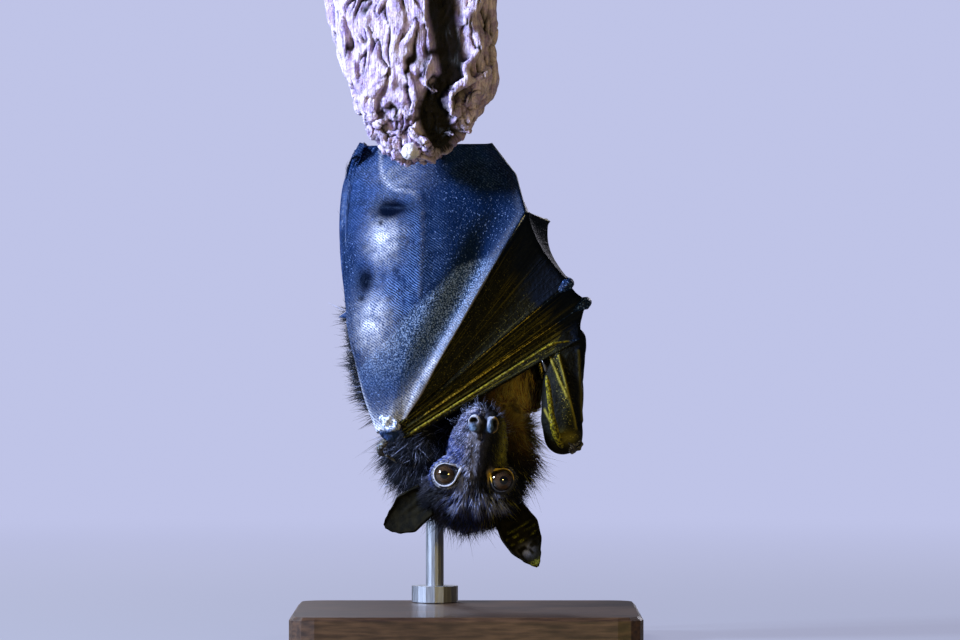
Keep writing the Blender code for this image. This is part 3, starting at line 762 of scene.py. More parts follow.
# The nostrils are sunk into their tubes, with a soft lobe at the side of the brow.
flesh_points = places_of(head.data)
hole, blue = np.zeros(len(flesh_points)), np.zeros(len(flesh_points))
for side in SIDES:
    nose = NOSTRIL[side]
    across, tall, depth = ((flesh_points - np.array(nose["rim"])) @ np.array(nose[way]) / MM
                           for way in ("spread", "up", "out"))
    # The left lobe fills the lower part of its opening, the right one the inner side.
    if side == "left":
        pit = 1 - held(np.hypot((across - 0.1) / 2.5, (tall + 1.5) / 1.7)) ** 2
        lobe = np.exp(-(((across + 0.1) / 2.5) ** 2 + ((tall - 2.3) / 2.6) ** 2) ** 2)
    else:
        pit = 1 - held(np.hypot((across - 1.0) / 1.8, (tall + 0.9) / 2.2)) ** 2
        lobe = np.exp(-(((across + 1.8) / 1.3) ** 2 + ((tall - 0.6) / 3.8) ** 2) ** 2)
    here = np.abs(depth) < 4.5
    pit = np.where(here, pit * (1 - lobe), 0)
    sunk = pit * 3.6 - np.where(here, lobe, 0) * 0.9
    flesh_points = flesh_points - np.array(nose["out"]) * (sunk * MM)[:, None]
    around = np.hypot(across / 4.0, tall / 5.4)
    rim = hill(around, 0.84, 0.17)
    # The rims are painted pale only on their sunlit side, as painted light; the lobes are pale skin tinted
    # blue as lit by the cool lamp, a painted light.
    sunlit = rim * held(0.55 - 0.26 * tall + 0.15 * across)
    if side == "right":
        sunlit = rim * held(-0.25 * tall - 0.35 * across - 0.3)
    pale = np.maximum(pale, np.where(here, sunlit * (1 - 0.7 * lobe), 0))
    blue = np.maximum(blue, np.where(here, lobe * (0.8 if side == "left" else 1.0), 0))
    # The right rim's outer side takes a painted warm glint of the warm lamp.
    if side == "right":
        amber = np.where(here & (across > 0.2), held(rim * 1.5), 0)
        pale = np.maximum(pale, amber * 0.35)
    # A skirt of painted shade lies round the foot of each rim, and the pits are painted dark as shade.
    skirt = hill(around, 1.22, 0.22) * eased(tall, -1.5, 1.5) * 0.85
    hole = np.maximum(hole, held(pit * 2.2 + np.where(here, skirt, 0)))

# A groove runs between the nostrils, and the mouth's line round the muzzle; both, with the nostrils' pits,
# are painted dark as shade.
a, n, c = head_sizes(flesh_points).T
groove = hill(a, 0.2, 1.2) * (n > 31) * (c > -9)
mouth = hill(c, -8.8 + 0.02 * (n - 20), 0.7) * (n > 2)
# The bridge is bare, beside the middle; its pale skin is painted only on the lit left side, the right left
# dark as painted shade.
bridge = hill(a, -2.2, 3.0 + 0.1 * np.clip(n - 8, 0, 30)) * (c > 1)
bridge *= held((n - 5) / 5) * (1 - 0.95 * eased(a, -1.6, 1.0))
facing = normals_of(head.data)
rise = -1.7 * groove - 1.2 * mouth - 0.45 * fold + 0.22 * ripple(flesh_points, 2.2 * MM, 21)
put(head.data, flesh_points + facing * (rise * MM)[:, None])
# A painted warm glint, a golden patch of the warm lamp's light, lies before the right eye's corner.
GLINT_X, GLINT_Z = 13.0, 91.5
patch = mound(flesh_points[:, 0] / MM, GLINT_X, 1.7, flesh_points[:, 2] / MM, GLINT_Z, 4.2) * (c > 0)
pale, amber = np.maximum(pale, 0.8 * patch), np.maximum(amber, held(2 * patch))
paint(head.data, pale=pale, amber=amber, blue=held(blue * 1.8),
      hole=held(hole + groove * 0.8 + mouth * 0.6), bare=held(bridge * 1.5))
head.data.shade_smooth()

# The lids: a pale roll of skin round each eye, thickest at the drawn-out corner.
lids = []
for side in SIDES:
    middle, gaze, inward, up = eye_frame(side)
    roll = []
    for step in range(73):
        angle = pi + 2 * pi * step / 72
        off = lid_reach(side, angle) + 0.3
        rise = sqrt((EYE_RADIUS + 0.55) ** 2 - min(off, 7.4) ** 2)
        roll.append(middle + (inward * off * cos(angle) + up * off * sin(angle)
                              + gaze * rise) * MM)

    def thick(along, angle):
        corner = max(0.0, -cos(2 * pi * along))
        below = max(0.0, sin(2 * pi * along)) if side == "left" else 0.0
        return (0.31 + 0.52 * corner**3 + 0.20 * below + 0.04 * sin(11 * pi * along)) * MM

    lid = limb(f"lid_{side}", measured(roll), thick, 110, 12, blunt=300, front=gaze)
    spread = (places_of(lid.data) - np.array(middle)) / MM
    to_corner, to_nose = spread @ np.array(inward), spread @ np.array(up)
    if side == "left":
        paint(lid.data, pale=np.ones(len(spread)))
    else:
        # In the right eye only the corner and the edge by the nose are pale, a painted light with a painted
        # warm glint; the rest of its lid is left dark, as painted shade.
        light = held(0.05 + np.maximum(eased(to_corner, 3.2, 6.0), 0.6 * eased(to_nose, 3.0, 5.0)))
        paint(lid.data, pale=light, amber=eased(light, 0.1, 0.3))
    lids.append(lid)


# ------------------------------------------------------------------- the ears
# Each ear is a leaf of bare skin, rolled into a funnel at its foot and open to
# the front, with a thick rim, and low ribs across its inner face.
def stored(mesh, name):
    """The values painted on a mesh's points."""
    return np.array([point.value for point in mesh.attributes[name].data])


def leaf(name, place, across, along, half_thick, half_thick_behind=None):
    """A closed thin skin: a grid that place(u, v) sets, and half its thickness there."""
    bpy.ops.object.select_all(action="DESELECT")
    bpy.ops.mesh.primitive_grid_add(x_subdivisions=across, y_subdivisions=along, size=1)
    made = bpy.context.object
    made.name = name
    shares = [(corner.co.x + 0.5, corner.co.y + 0.5) for corner in made.data.vertices]
    for corner, (u, v) in zip(made.data.vertices, shares):
        corner.co = place(u, v)
    made.data.update()
    facing, middle = normals_of(made.data), places_of(made.data)
    front_thick = np.array([half_thick(u, v) for u, v in shares]) * MM
    back_thick = np.array([(half_thick_behind or half_thick)(u, v) for u, v in shares]) * MM
    bpy.ops.object.mode_set(mode="EDIT")
    bpy.ops.mesh.select_all(action="SELECT")
    bpy.ops.mesh.extrude_region()
    bpy.ops.object.mode_set(mode="OBJECT")
    # The lifted layer comes second in the mesh and takes the outer side.
    layers = places_of(made.data)
    layers[:len(shares)] = middle - facing * back_thick[:, None]
    layers[len(shares):] = middle + facing * front_thick[:, None]
    put(made.data, layers)
    face_outwards()
    made.data.shade_smooth()
    share_u, share_v = np.array(shares + shares).T
    paint(made.data, share_u=share_u, share_v=share_v)
    return made


def leaf_ear(name, foot, tip, looks, wide, curl, profile, ribs):
    """An ear from foot to tip. Its profile gives the reach to each side, as shares."""
    spine = tip - foot
    length = spine.length
    spine = spine.normalized()
    looks = square_to(looks, spine)
    across = spine.cross(looks)
    width = ramp(profile)

    def place(u, v):
        swing = (u - 0.5) * 2
        half = wide / 2 * width(v)[0 if swing < 0 else 1]
        roll = curl * mix(1.0, 0.35, v)
        bend = swing * roll
        reach = half / sin(roll)
        back = length * 0.10 * sin(pi * v)
        rib = ribs * sin(v * 30 + 2.4 * swing * swing) * (1 - swing**4) * sin(pi * v)
        fold = (1.2 * exp(-((swing - 0.30 + 0.3 * v) / 0.13) ** 2)
                + 0.8 * exp(-((swing + 0.25 - 0.2 * v) / 0.12) ** 2)) * max(0, 1 - 1.5 * v) ** 0.6
        return (foot + spine * length * v + across * reach * sin(bend)
                + looks * (reach * (1 - cos(bend)) - back + (rib + fold) * MM))

    return leaf(name, place, 34, 46, lambda u, v: 0.45 + 0.45 * max(abs(2 * u - 1), v * 0.9) ** 12)


ears = [
    leaf_ear("ear_left_skin", in_head(-22.5, -17, 1), at(-45, -14, 64), Vector((-0.2, -1, 0.15)),
             22 * MM, 1.0,
             [(0, 0.8, 0.8), (0.25, 0.9, 0.88), (0.5, 1.02, 0.92), (0.77, 0.74, 0.56), (0.9, 0.46, 0.32),
              (1, 0.10, 0.08)], 0.08),
    leaf_ear("ear_right_skin", in_head(20.5, -17.5, 3), at(39, -18, 42), Vector((0.1, -1, 0.1)),
             23 * MM, 1.2,
             [(0, 0.75, 0.7), (0.15, 0.86, 0.8), (0.36, 1.0, 0.86), (0.6, 0.84, 0.76), (0.82, 0.47, 0.45),
              (0.93, 0.23, 0.21), (1, 0.03, 0.03)], 0.20),
]
# The right ear's folds and tip take a painted gold glint of the warm lamp, and its lower part a painted
# pale sheen.
right_ear = ears[1].data
swing, v = 2 * stored(right_ear, "share_u") - 1, stored(right_ear, "share_v")
ear_points = places_of(right_ear)
ribs = held(np.sin(v * 62 + 2.4 * swing**2) * 1.4 - 0.2) * (1 - swing**4)
ribs *= eased(v, 0.24, 0.34) * (1 - eased(v, 0.52, 0.64)) * held(0.5 + ripple(ear_points, 3 * MM, 99))
sheen = mound(v, 0.7, 0.08, swing, 0.1, 0.5) * held(0.45 + 1.6 * ripple(ear_points, 2.2 * MM, 98))
paint(right_ear, gilt=eased(v, 0.86, 0.95) + ribs, glow=0.45 * sheen)

# ------------------------------------------------------------------ the wings
# Bare elastic skin stretched over long finger bones. The left wing folds
# across the belly and round the right flank; the right hand is closed.
FOREARM_BENDS = {
    "left": [at(-50, -31, 145), at(-60.5, -19, 183), at(-64.5, -7, 225)],
    "right": [at(59.5, -20, 143), at(50, -8, 178), at(36, 5, 214)],
}
LEFT_FINGERS = {
    5: [at(-38, -41.5, 124), at(32.5, -38, 235), at(44.5, -6, 231), at(35, 34, 236)],
    4: [at(-36, -41.5, 120.5), at(56, -29, 197), at(56, 11, 199), at(36, 39, 212)],
    3: [at(-34.5, -41.5, 117), at(66, -20, 187), at(61.5, 21, 181), at(31, 43, 190)],
    2: [at(-34, -41.5, 113), at(46.5, -34, 164), at(62, -24, 166)],
}
LEADING_EDGE = [at(-33, -41.5, 113), at(62, -24, 166), at(60, 24, 172), at(30, 45, 183)]
RIGHT_FINGERS = {
    2: [at(50.5, -27.5, 112), at(31, -14, 188)],
    3: [at(51.5, -30.5, 116), at(33.5, -12, 215)],
    4: [at(54, -31, 119), at(37, -8, 220)],
    5: [at(56.5, -29, 121), at(40, -2, 221)],
}
THUMBS = {
    "left": [at(-43, -36, 112), at(-47, -29, 107), at(-47, -19, 104), at(-45, -14, 103)],
    "right": [at(52, -33, 107), at(47.5, -38.5, 119), at(44.5, -40.5, 140), at(43.4, -41, 147)],
}
WRIST_SIZE = {"left": (5.6, 5.0, 8.0), "right": (5.0, 5.0, 5.6)}
BODY_AXIS = ramp([(110, 6, 4), (180, -2, 3), (262, -15, 2)])


def outward_at(point):
    """The level direction away from the middle of the body."""
    x, y = BODY_AXIS(point.z / MM)
    return Vector((point.x - x * MM, point.y - y * MM, 0)).normalized()


def jointed(points):
    """A path of straight bones in which each bone takes an equal share."""

    def place(share):
        reach = min(max(share, 0), 1) * (len(points) - 1)
        i = min(int(reach), len(points) - 2)
        return mix(points[i], points[i + 1], reach - i)

    return place


def bowed(height):
    """How a membrane bows out between its bones, in millimetres."""
    return lambda u, v: height * sin(pi * u)


def between(first, second, swell, from_share=0.0):
    """The middle surface of a membrane between two bones, which it wraps."""

    def place(u, v):
        share = mix(from_share, 1.0, v)
        middle = mix(first(share), second(share), u)
        return middle + outward_at(middle) * swell(u, v) * MM

    return place


def wrapping(place, thick_first, thick_second, sheet_half=0.5):
    """Half the thickness of a membrane that rises over the bone at each side."""

    def half(u, v):
        here, first, second = place(u, v), place(0, v), place(1, v)
        near_first = (here - first).length / MM
        near_second = (here - second).length / MM
        rise = thick_first * exp(-(near_first / thick_first) ** 2 * 0.9)
        rise += thick_second * exp(-(near_second / thick_second) ** 2 * 0.9)
        return sheet_half + rise

    return half


forearm_paths = {side: curve_through([WRIST[side], *FOREARM_BENDS[side], ELBOW[side]])
                 for side in SIDES}
forearm_line = curve_through([at(-44.5, -38, 116.5), at(-52.5, -30, 140), *FOREARM_BENDS["left"][1:],
                              at(-62, 0, 257), at(-56, -13, 272)])
little_line = measured([at(-36, -41.5, 118), LEFT_FINGERS[5][1], at(27, -30, 256), at(13, -24, 273)])
CURL_FROM = 0.82
# Soft swellings where the legs press the membrane out, and the pits beside them:
# x, z, the half-width, the half-height and the rise, in millimetres.
SWELLINGS = [
    (-43, 219, 15, 19, 5.0), (-48, 174, 14, 19, 4.6), (-40, 237.5, 9, 3.8, -5.2),
    (-46.8, 229.5, 1.4, 1.4, -2.2), (-55, 197, 4.4, 6.5, -5.6), (-57, 188.3, 1.4, 1.5, -2.2),
    (-34, 254, 16, 10, 2.6), (4, 226, 14, 24, -2.6), (-30, 140, 12, 10, 1.2),
]
# A tendon of the leg shows as a fine raised line, first bent and then upright.
TENDON = curve_through([at(-47, 0, 270), at(-46, 0, 256), at(-39, 0, 248), at(-30, 0, 246.5),
                        at(-25, 0, 240), at(-24, 0, 222), at(-25.5, 0, 190)])
TENDON_POINTS = np.array([TENDON(i / 80) for i in range(81)])[:, [0, 2]] / MM
CROWDED = 1.25  # the rows of points crowd together beside the forearm


def front_middle(u, v):
    """The middle surface of the front membrane, from the forearm to the little finger."""
    u = u**CROWDED
    swell = (16 * sin(pi * min(1, u) ** 0.8) ** 0.7 * (1 - 0.8 * eased(u, 0.66, 0.93))
             * sin(pi * min(1, 0.1 + v * 0.7)))
    first, second = forearm_line(v), little_line(v)
    middle = mix(first, second, u)
    point = middle + outward_at(middle) * swell * MM
    curl = max(0.0, v - CURL_FROM) / (1 - CURL_FROM)
    point += at(0, 9 * curl * curl * sin(pi * u) ** 0.7, 0)
    x, z = point.x / MM, point.z / MM
    lift = sum(height * mound(x, cx, rx, z, cz, rz) for cx, cz, rx, rz, height in SWELLINGS)
    gap = np.min(np.hypot(TENDON_POINTS[:, 0] - x, TENDON_POINTS[:, 1] - z))
    lift += 0.7 * hill(gap, 0, 0.9) - 0.8 * eased(x, -25, -17) * eased(z, 180, 200)
    edge = u * (1 - u) * 4
    lift += 0.5 * edge * sin(0.16 * x + 0.11 * z) * sin(0.05 * z + 1)
    arc = u * (second - first).length / MM  # how far it lies from the forearm
    lift += (cos(arc * 1.9 + 0.7 * sin(z * 0.05)) * hill(arc, 4, 6.5) * eased(z, 150, 172)
             * min(1, edge * 12))
    lift += 0.7 * hill(v, 1, 0.07) * sin(arc * 1.1 + 2 * sin(arc * 0.35)) * min(1, edge * 4)
    lift += 0.8 * mound(x, -2, 10, z, 258, 7) * sin(1.9 * x + 1.2 * z) * sin(1.3 * z - 0.9 * x)
    return point + outward_at(point) * lift * min(1, edge * 4) * MM


def from_bones(u, v):
    """How far the front membrane's point lies from the forearm and the finger, in millimetres."""
    width = (little_line(v) - forearm_line(v)).length / MM
    return u**CROWDED * width, (1 - u**CROWDED) * width


def front_outer(u, v):
    """Half the front membrane's thickness on its outer side, which rises over both bones."""
    from_arm, from_finger = from_bones(u, v)
    over_finger = mix(2.8, 0.4, v) * hill(from_finger, 0, mix(6.5, 2.0, v)) * eased(v, 0.0, 0.12)
    return 0.4 + 2.9 * hill(from_arm, 0, 3.4) + over_finger


def front_inner(u, v):
    """The same on its inner side."""
    from_arm, from_finger = from_bones(u, v)
    return 0.4 + 2.9 * hill(from_arm, 0, 3.4) + hill(from_finger, 0, 1.6)


# Where the wing's painted light and shadow change, as (x, z) lines; then its striped places: x, z and
# their reaches.
WARM_LIGHT_EDGE = [(19, 208), (51, 171)]  # beyond this line the hand's skin is painted blue-black, as shade out of the warm lamp's light
SHADOW_EDGE = [(-60, 150), (-40, 170), (-28, 185), (-16, 195), (-6, 206), (2, 209), (11, 211), (40, 212)]
STRIPED = [(-20, 214, 15, 20), (-36, 189, 18, 9), (-30, 170, 12, 9)]


def paint_wing(mesh, web, back=0.0):
    """Stores the markings of the wings on a membrane's points."""
    x, y, z = (places_of(mesh) / MM).T
    (ax, az), (bx, bz) = WARM_LIGHT_EDGE
    past = ((x - ax) * (az - bz) + (z - az) * (bx - ax)) / hypot(bx - ax, az - bz)
    # The hand's skin takes painted warm light, and past the edge painted blue-black shade.
    paint(mesh, olive=np.full(len(x), web + back), night=eased(past, -0.8, 0.8) * web)
    edge = np.interp(x, *zip(*SHADOW_EDGE))
    # Below the shadow's edge the front takes the grey of a painted shadow.
    paint(mesh, ash=eased(edge - z, 0, 2.0) * eased(z, 128, 178) * (y < 0) * (1 - web))
    stripe = sum(mound(x, cx, rx, z, cz, rz) for cx, cz, rx, rz in STRIPED)
    paint(mesh, stripe=held(0.16 + stripe) * (1 - web))


wing_parts = []
front = leaf("membrane_front_skin", front_middle, 84, 128, front_outer, front_inner)
paint_wing(front.data, 0.0)
spots = list(zip(stored(front.data, "share_u"), stored(front.data, "share_v")))
beside, crest = np.array([from_bones(u, v) for u, v in spots]).T
low_on_wing = 1 - stored(front.data, "share_v")
skin_points = places_of(front.data)
x, z = skin_points[:, 0] / MM, skin_points[:, 2] / MM
# Painted highlights where the cool lamp catches the swellings; then on the band beside the little finger,
# the tendon's line and the wrist end.
bulge_highlight = (0.90 * mound(x, -45, 7.8, z, 222, 12)
        + 0.82 * mound(x, -50.5, 8.5, z, 175, 14)
        + 0.22 * mound(x, -36, 12, z, 256, 9))
bulge_highlight *= 0.9 + 0.5 * ripple(skin_points * np.array((1, 1, 1.6)), 5 * MM, 23)
beside = hill(beside, 1.5, 1.1) * eased(low_on_wing, 0.45, 0.75)
tendon = np.min(np.hypot(x[:, None] - TENDON_POINTS[:, 0], z[:, None] - TENDON_POINTS[:, 1]), axis=1)
tendon = hill(tendon, 0, 0.8) * (0.10 + 0.45 * eased(z, 243, 248))
# A painted highlight lies along the crest over the little finger, more so towards the wrist.
crest_highlight = hill(crest, 2.8, mix(1.7, 4.2, low_on_wing**2)) * (0.02 + 0.98 * low_on_wing**2)
crest_highlight *= 0.85 + 0.5 * ripple(skin_points, 4 * MM, 19)
glow = 0.55 * beside + tendon + crest_highlight + 0.9 * low_on_wing**26 + bulge_highlight
paint(front.data, glow=held(glow))
# Painted shade in the pits of the wing: x, its reach, z, its reach, and the strength.
PIT_SHADES = [(-46.8, 1.6, 229.5, 1.6, 1.0), (-57, 1.5, 188.3, 1.7, 1.0), (-55, 4.6, 198, 7, 1.2),
        (-43, 6.5, 236.5, 5, 1.5), (-34, 9, 238, 3.6, 0.8)]
pit = sum(share * mound(x, cx, rx, z, cz, rz) for cx, rx, cz, rz, share in PIT_SHADES)
# More painted shade lies in the valley beside the little finger's crest, away from the wrist.
pit += 0.42 * hill(crest, 2.5, 3.5) * (1 - eased(low_on_wing, 0.50, 0.80))
paint(front.data, pit=held(pit), rim=hill(crest, 0, 0.7) * eased(low_on_wing, 0.35, 0.6))
# Painted shade darkens it towards the right, over the fold of the leg, and along its outer edge.
dusk = np.maximum(eased(x, -32, -8) * eased(z, 176, 206), 0.75 * eased(z, 262, 275))
dusk = np.maximum(dusk, 0.80 * eased(x, -26.6, -24.6) * eased(z, 176, 190) * (1 - eased(z, 240, 262)))
dusk = np.maximum(dusk, 0.8 * (1 - eased(x + 0.22 * (z - 230), -71, -57)))
dusk *= 1 - 0.7 * eased(z, 242, 256) * eased(x, -18, -4)
paint(front.data, dusk=held(dusk * 0.9))
wing_parts.append(front)

# Each web of the left hand: its name, the bones it joins, its sag and pleats, and how
# thickly it wraps each bone.
HAND_WEBS = [
    ("web_4_5_skin", LEFT_FINGERS[5], LEFT_FINGERS[4], -2.4, 0.0, 1.2, 0.9),
    ("web_3_4_skin", LEFT_FINGERS[4], LEFT_FINGERS[3], -1.4, 0.5, 0.9, 0.6),
    ("web_2_3_skin", LEFT_FINGERS[3], LEADING_EDGE, -1.2, 0.6, 0.6, 0.8),
]


def hanging(sag, pleats):
    """How a web of the folded hand sags between its bones, pleated by the wrist."""

    def swell(u, v):
        deep = min(1, 0.25 + 3 * v) * (1 + abs(sag) * 0.65 * hill(v, 0.5, 0.22))
        return sag * sin(pi * u) * deep + pleats * sin(6 * pi * u) * max(0, 1 - 2.6 * v)

    return swell


for name, upper, lower, sag, pleats, thick_upper, thick_lower in HAND_WEBS:
    middle = between(jointed(upper), jointed(lower), hanging(sag, pleats))
    web = leaf(name, middle, 26, 90, wrapping(middle, thick_upper, thick_lower, 0.4))
    paint_wing(web.data, 1.0)
    spread, along = stored(web.data, "share_u"), stored(web.data, "share_v")
    # Near the wrist the web takes painted olive light of the warm lamp, and painted gold glints along its
    # pleats.
    moss = 0.25 * hill(spread, 0.5, 0.5) * (pleats > 0) * (along < 0.45)
    paint(web.data, moss=held(1 - 2.4 * along) * 0.35 + moss)
    lines = sum(hill(spread, line, 0.016) for line in (0.22, 0.41, 0.63, 0.84)) * (pleats > 0)
    broken = held(0.5 + ripple(places_of(web.data) * np.array([0.4, 1, 0.6]), 3 * MM, 97))
    paint(web.data, gilt=held(lines * broken * eased(0.46 - along, 0, 0.25)) * 0.6)
    wing_parts.append(web)

for low, high in ((2, 3), (3, 4), (4, 5)):
    middle = between(measured(RIGHT_FINGERS[low]), measured(RIGHT_FINGERS[high]), bowed(-1.6))
    web = leaf(f"web_right_{low}_{high}_skin", middle, 10, 40, wrapping(middle, 1.2, 1.2, 0.4))
    paint_wing(web.data, 1.0)
    wing_parts.append(web)

# The closed right hand: its membranes are packed into one flat, ridged lobe.
LOBE = curve_through([at(54, -25, 103.5), at(53, -27, 112), at(51.8, -27, 124), at(52.2, -25, 138),
                      at(53.2, -22, 152), at(54.5, -20, 165), at(55.5, -18, 174)])
LOBE_SIZE = ramp([(0, 9.5, 5.5), (0.12, 11, 6.5), (0.5, 10.8, 6.5), (1, 11.5, 5)])
# Each ridge runs from one (x, z) to another; then its half-width and height.
LOBE_RIDGES = [
    ((46.0, 156), (54.4, 134.5), 0.8, 1.1), ((50.5, 157), (59.4, 117.5), 0.9, 1.4),
    ((48.5, 158), (57.0, 122.0), 2.8, 1.1), ((43.0, 128), (50.5, 111.5), 1.6, 0.9),
    ((50.8, 112.6), (59.6, 114.6), 2.6, 1.6), ((61.0, 160), (62.5, 122.0), 1.2, 0.9),
]


def lobe_radius(along, angle):
    """The lobe's oval section, in metres."""
    wide, deep = LOBE_SIZE(along)
    return MM / hypot(cos(angle) / wide, sin(angle) / deep)


lobe = limb("hand_lobe_skin", LOBE, lobe_radius, 110, 90, blunt=9)
lobe_points, facing = places_of(lobe.data), normals_of(lobe.data)
level = lobe_points[:, [0, 2]] / MM
rise, moss, gilt = np.zeros(len(level)), np.zeros(len(level)), np.zeros(len(level))
for first, second, wide, high in LOBE_RIDGES:
    gap = gap_from(level, np.array(first), np.array(second))
    rise += high * hill(gap, 0, wide)
    gilt = np.maximum(gilt, hill(gap, 0, 0.5) * (wide < 2) * 0.6)
    if wide > 2:
        moss = np.maximum(moss, hill(gap, 0, wide))
to_front = facing[:, 1] < 0
rise = rise * to_front + 0.35 * ripple(lobe_points, 5 * MM, 81)
put(lobe.data, lobe_points + facing * (rise * MM)[:, None])
paint_wing(lobe.data, 1.0)
# The wide ridges take painted olive light and the narrow ones painted gold glints of the warm lamp; the
# lobe's right side is painted blue-black shade.
paint(lobe.data, moss=moss * to_front)
gilt = np.maximum(gilt, 0.30 * mound(level[:, 0], 55.5, 5.5, level[:, 1], 113, 3.4))
paint(lobe.data, gilt=gilt * to_front, night=eased(level[:, 0], 56, 62) * 0.7)
wing_parts.append(lobe)

# Membranes from the flank to the arm behind, and in the crook of each arm.
BACK_LINE = {
    "left": [at(-35, 21, 168), at(-34, 23, 215), at(-31, 18, 262)],
    "right": [at(27, 25, 170), at(18, 27, 215), at(3, 20, 262)],
}


def backwards(path):
    """The same path from its other end."""
    return lambda share: path(1 - share)


for side, shoulder_from in (("left", 0.14), ("right", 0.22)):
    upper_arm = arm_paths[side]
    arm = curve_through([upper_arm(0.30) + at(0, 4, 0), upper_arm(0.7) + at(0, 2, 0),
                         ELBOW[side] + at(0, 1, 4)])
    behind = between(curve_through(BACK_LINE[side]), arm, bowed(1.5))
    crook = between(backwards(upper_arm), backwards(forearm_paths[side]), bowed(-1.0), shoulder_from)
    for skin in (leaf(f"membrane_{side}_back_skin", behind, 16, 44, wrapping(behind, 1.0, 2.5)),
                 leaf(f"membrane_{side}_shoulder_skin", crook, 18, 44, wrapping(crook, 2.5, 2.5))):
        paint_wing(skin.data, 0.0, back=0.55)
        paint(skin.data, behind=np.ones(len(skin.data.vertices)))
        wing_parts.append(skin)

FOREARM_SIZE = ramp([(0, 4.2), (0.08, 3.9), (0.3, 3.6), (0.7, 4.6), (0.9, 5.4), (1, 4.2)])


def forearm_radius(along, angle):
    """The forearm's radius, with tendons that run lengthways under its skin as low ridges."""
    thick = FOREARM_SIZE(along)[0]
    cords = 0.55 * cos(6 * angle + 2 * along) + 0.30 * cos(11 * angle - 3 * along)
    return (thick + cords * min(1, 4 * along, 4 * (1 - along))) * MM


bones = [limb(f"forearm_{side}_skin", forearm_paths[side], forearm_radius, 80, 34) for side in SIDES]


def wrist_place(side):
    """A lumpy knot of small bones under thin skin."""

    def place(along, angle):
        across, deep, tall = WRIST_SIZE[side]
        lump = 1 + 0.09 * sin(5 * angle + 6 * along) * sin(9 * along + 1)
        return WRIST[side] + at(across * lump * sin(pi * along) * cos(angle),
                                deep * lump * sin(pi * along) * sin(angle),
                                tall * cos(pi * along))

    return place


for side in SIDES:
    wrist = closed_form(f"wrist_{side}_skin", wrist_place(side), 48, 54)
    wrist_points = places_of(wrist.data)
    knobs = ripple(wrist_points, 2.6 * MM, 91) * 1.3 + ripple(wrist_points, 1.3 * MM, 92) * 0.4
    put(wrist.data, wrist_points + normals_of(wrist.data) * (knobs * MM)[:, None])
    bones.append(wrist)


def finger(name, points, thick, rings, knuckle=0.0):
    """A finger: slim bones with a knuckle at each joint, the first one a knob of its own size."""
    spans = [(b - a).length for a, b in zip(points, points[1:])]
    shares = [sum(spans[: i + 1]) / sum(spans) for i in range(len(spans) - 1)]
    stations = [(0, thick)]
    for joint in shares:
        swollen = max(thick * 1.3, knuckle * (joint == shares[0]))
        stations += [(joint - 0.04, thick * 0.72), (joint, swollen), (joint + 0.04, thick * 0.7)]
    stations.append((1, thick * 0.5))
    rounded = [points[0]]
    for before, bend, after in zip(points, points[1:], points[2:]):
        start = bend + (before - bend).normalized() * 4 * MM
        end = bend + (after - bend).normalized() * 4 * MM
        rounded += [mix(mix(start, bend, s / 6), mix(bend, end, s / 6), s / 6) for s in range(7)]
    rounded.append(points[-1])
    return round_limb(name, measured(rounded), stations, rings, 12)


# The radius of each finger of the left hand, and of the knob at its first joint.
LEFT_FINGER_SIZES = {5: (1.0, 0.0), 4: (0.9, 3.8), 3: (1.1, 3.9), 2: (0.75, 0.0)}
for number, points in LEFT_FINGERS.items():
    thick, knuckle = LEFT_FINGER_SIZES[number]
    bones.append(finger(f"finger_left_{number}_skin", points, thick, 90, knuckle))
for number, points in RIGHT_FINGERS.items():
    bones.append(finger(f"finger_right_{number}_skin", points, 1.4, 40))
for side, points in THUMBS.items():
    bones.append(round_limb(f"thumb_{side}_skin", curve_through(points),
                            [(0, 2.0), (0.3, 2.2), (0.5, 1.6), (0.8, 1.5), (1, 1.3)], 40, 14))
# A small thorn of skin stands out from the forearm's edge.
thorn_line = measured([at(-58, -21, 181), at(-65, -20, 179.5), at(-70, -19, 178.2)])
bones.append(round_limb("thorn_skin", thorn_line, [(0, 4.4), (0.5, 2.4), (1, 0.35)], 24, 14))
for bone in bones:
    height = places_of(bone.data)[:, 2] / MM
    on_hand = "finger" in bone.name or "right" in bone.name
    paint_wing(bone.data, 1.0 if on_hand else 0.0)
    # The hand's bones take a painted gold of the warm lamp, the little finger's only towards the wrist; the
    # top of the left wrist and the little finger's tip take a painted highlight; the right forearm and
    # wrist and the left thumb are painted blue-black shade, and the right thumb and the second left finger
    # a dimmer painted gold.
    if bone.name == "wrist_left_skin":
        paint(bone.data, glow=eased(height, 116.0, 119.0))
    if bone.name == "thumb_right_skin":
        paint(bone.data, dull=np.ones(len(height)))
    if bone.name == "finger_left_5_skin":
        paint(bone.data, olive=1 - 0.9 * eased(height, 150, 200), glow=0.25 + 0.75 * hill(height, 232, 6))
    if bone.name == "finger_left_2_skin":
        paint(bone.data, dull=np.full(len(height), 0.8))
    if bone.name.startswith(("forearm_right", "wrist_right", "thumb_left")):
        paint(bone.data, olive=np.ones(len(height)), night=np.full(len(height), 0.8))

# --------------------------------------------------- the finishes of the skin
# Under the coat the skin is sooty. The wings are slate blue to olive black,
# wrinkled finely across their stretch, and the ears are dark brown leather.
# Painted highlights, painted warm light and painted shade lie over them.
CELLS = pattern("cells", "ShaderNodeTexVoronoi", 1.2, 0.1, 0.6)
coat_skin = Finish("coat_skin", 0.5, Specular_IOR_Level=0.25)
specks = (SPECKS, 0.9, 0.5, 0.7)
pale_rim = coat_skin.blend(specks, (0.50, 0.50, 0.60), (0.86, 0.82, 0.90))
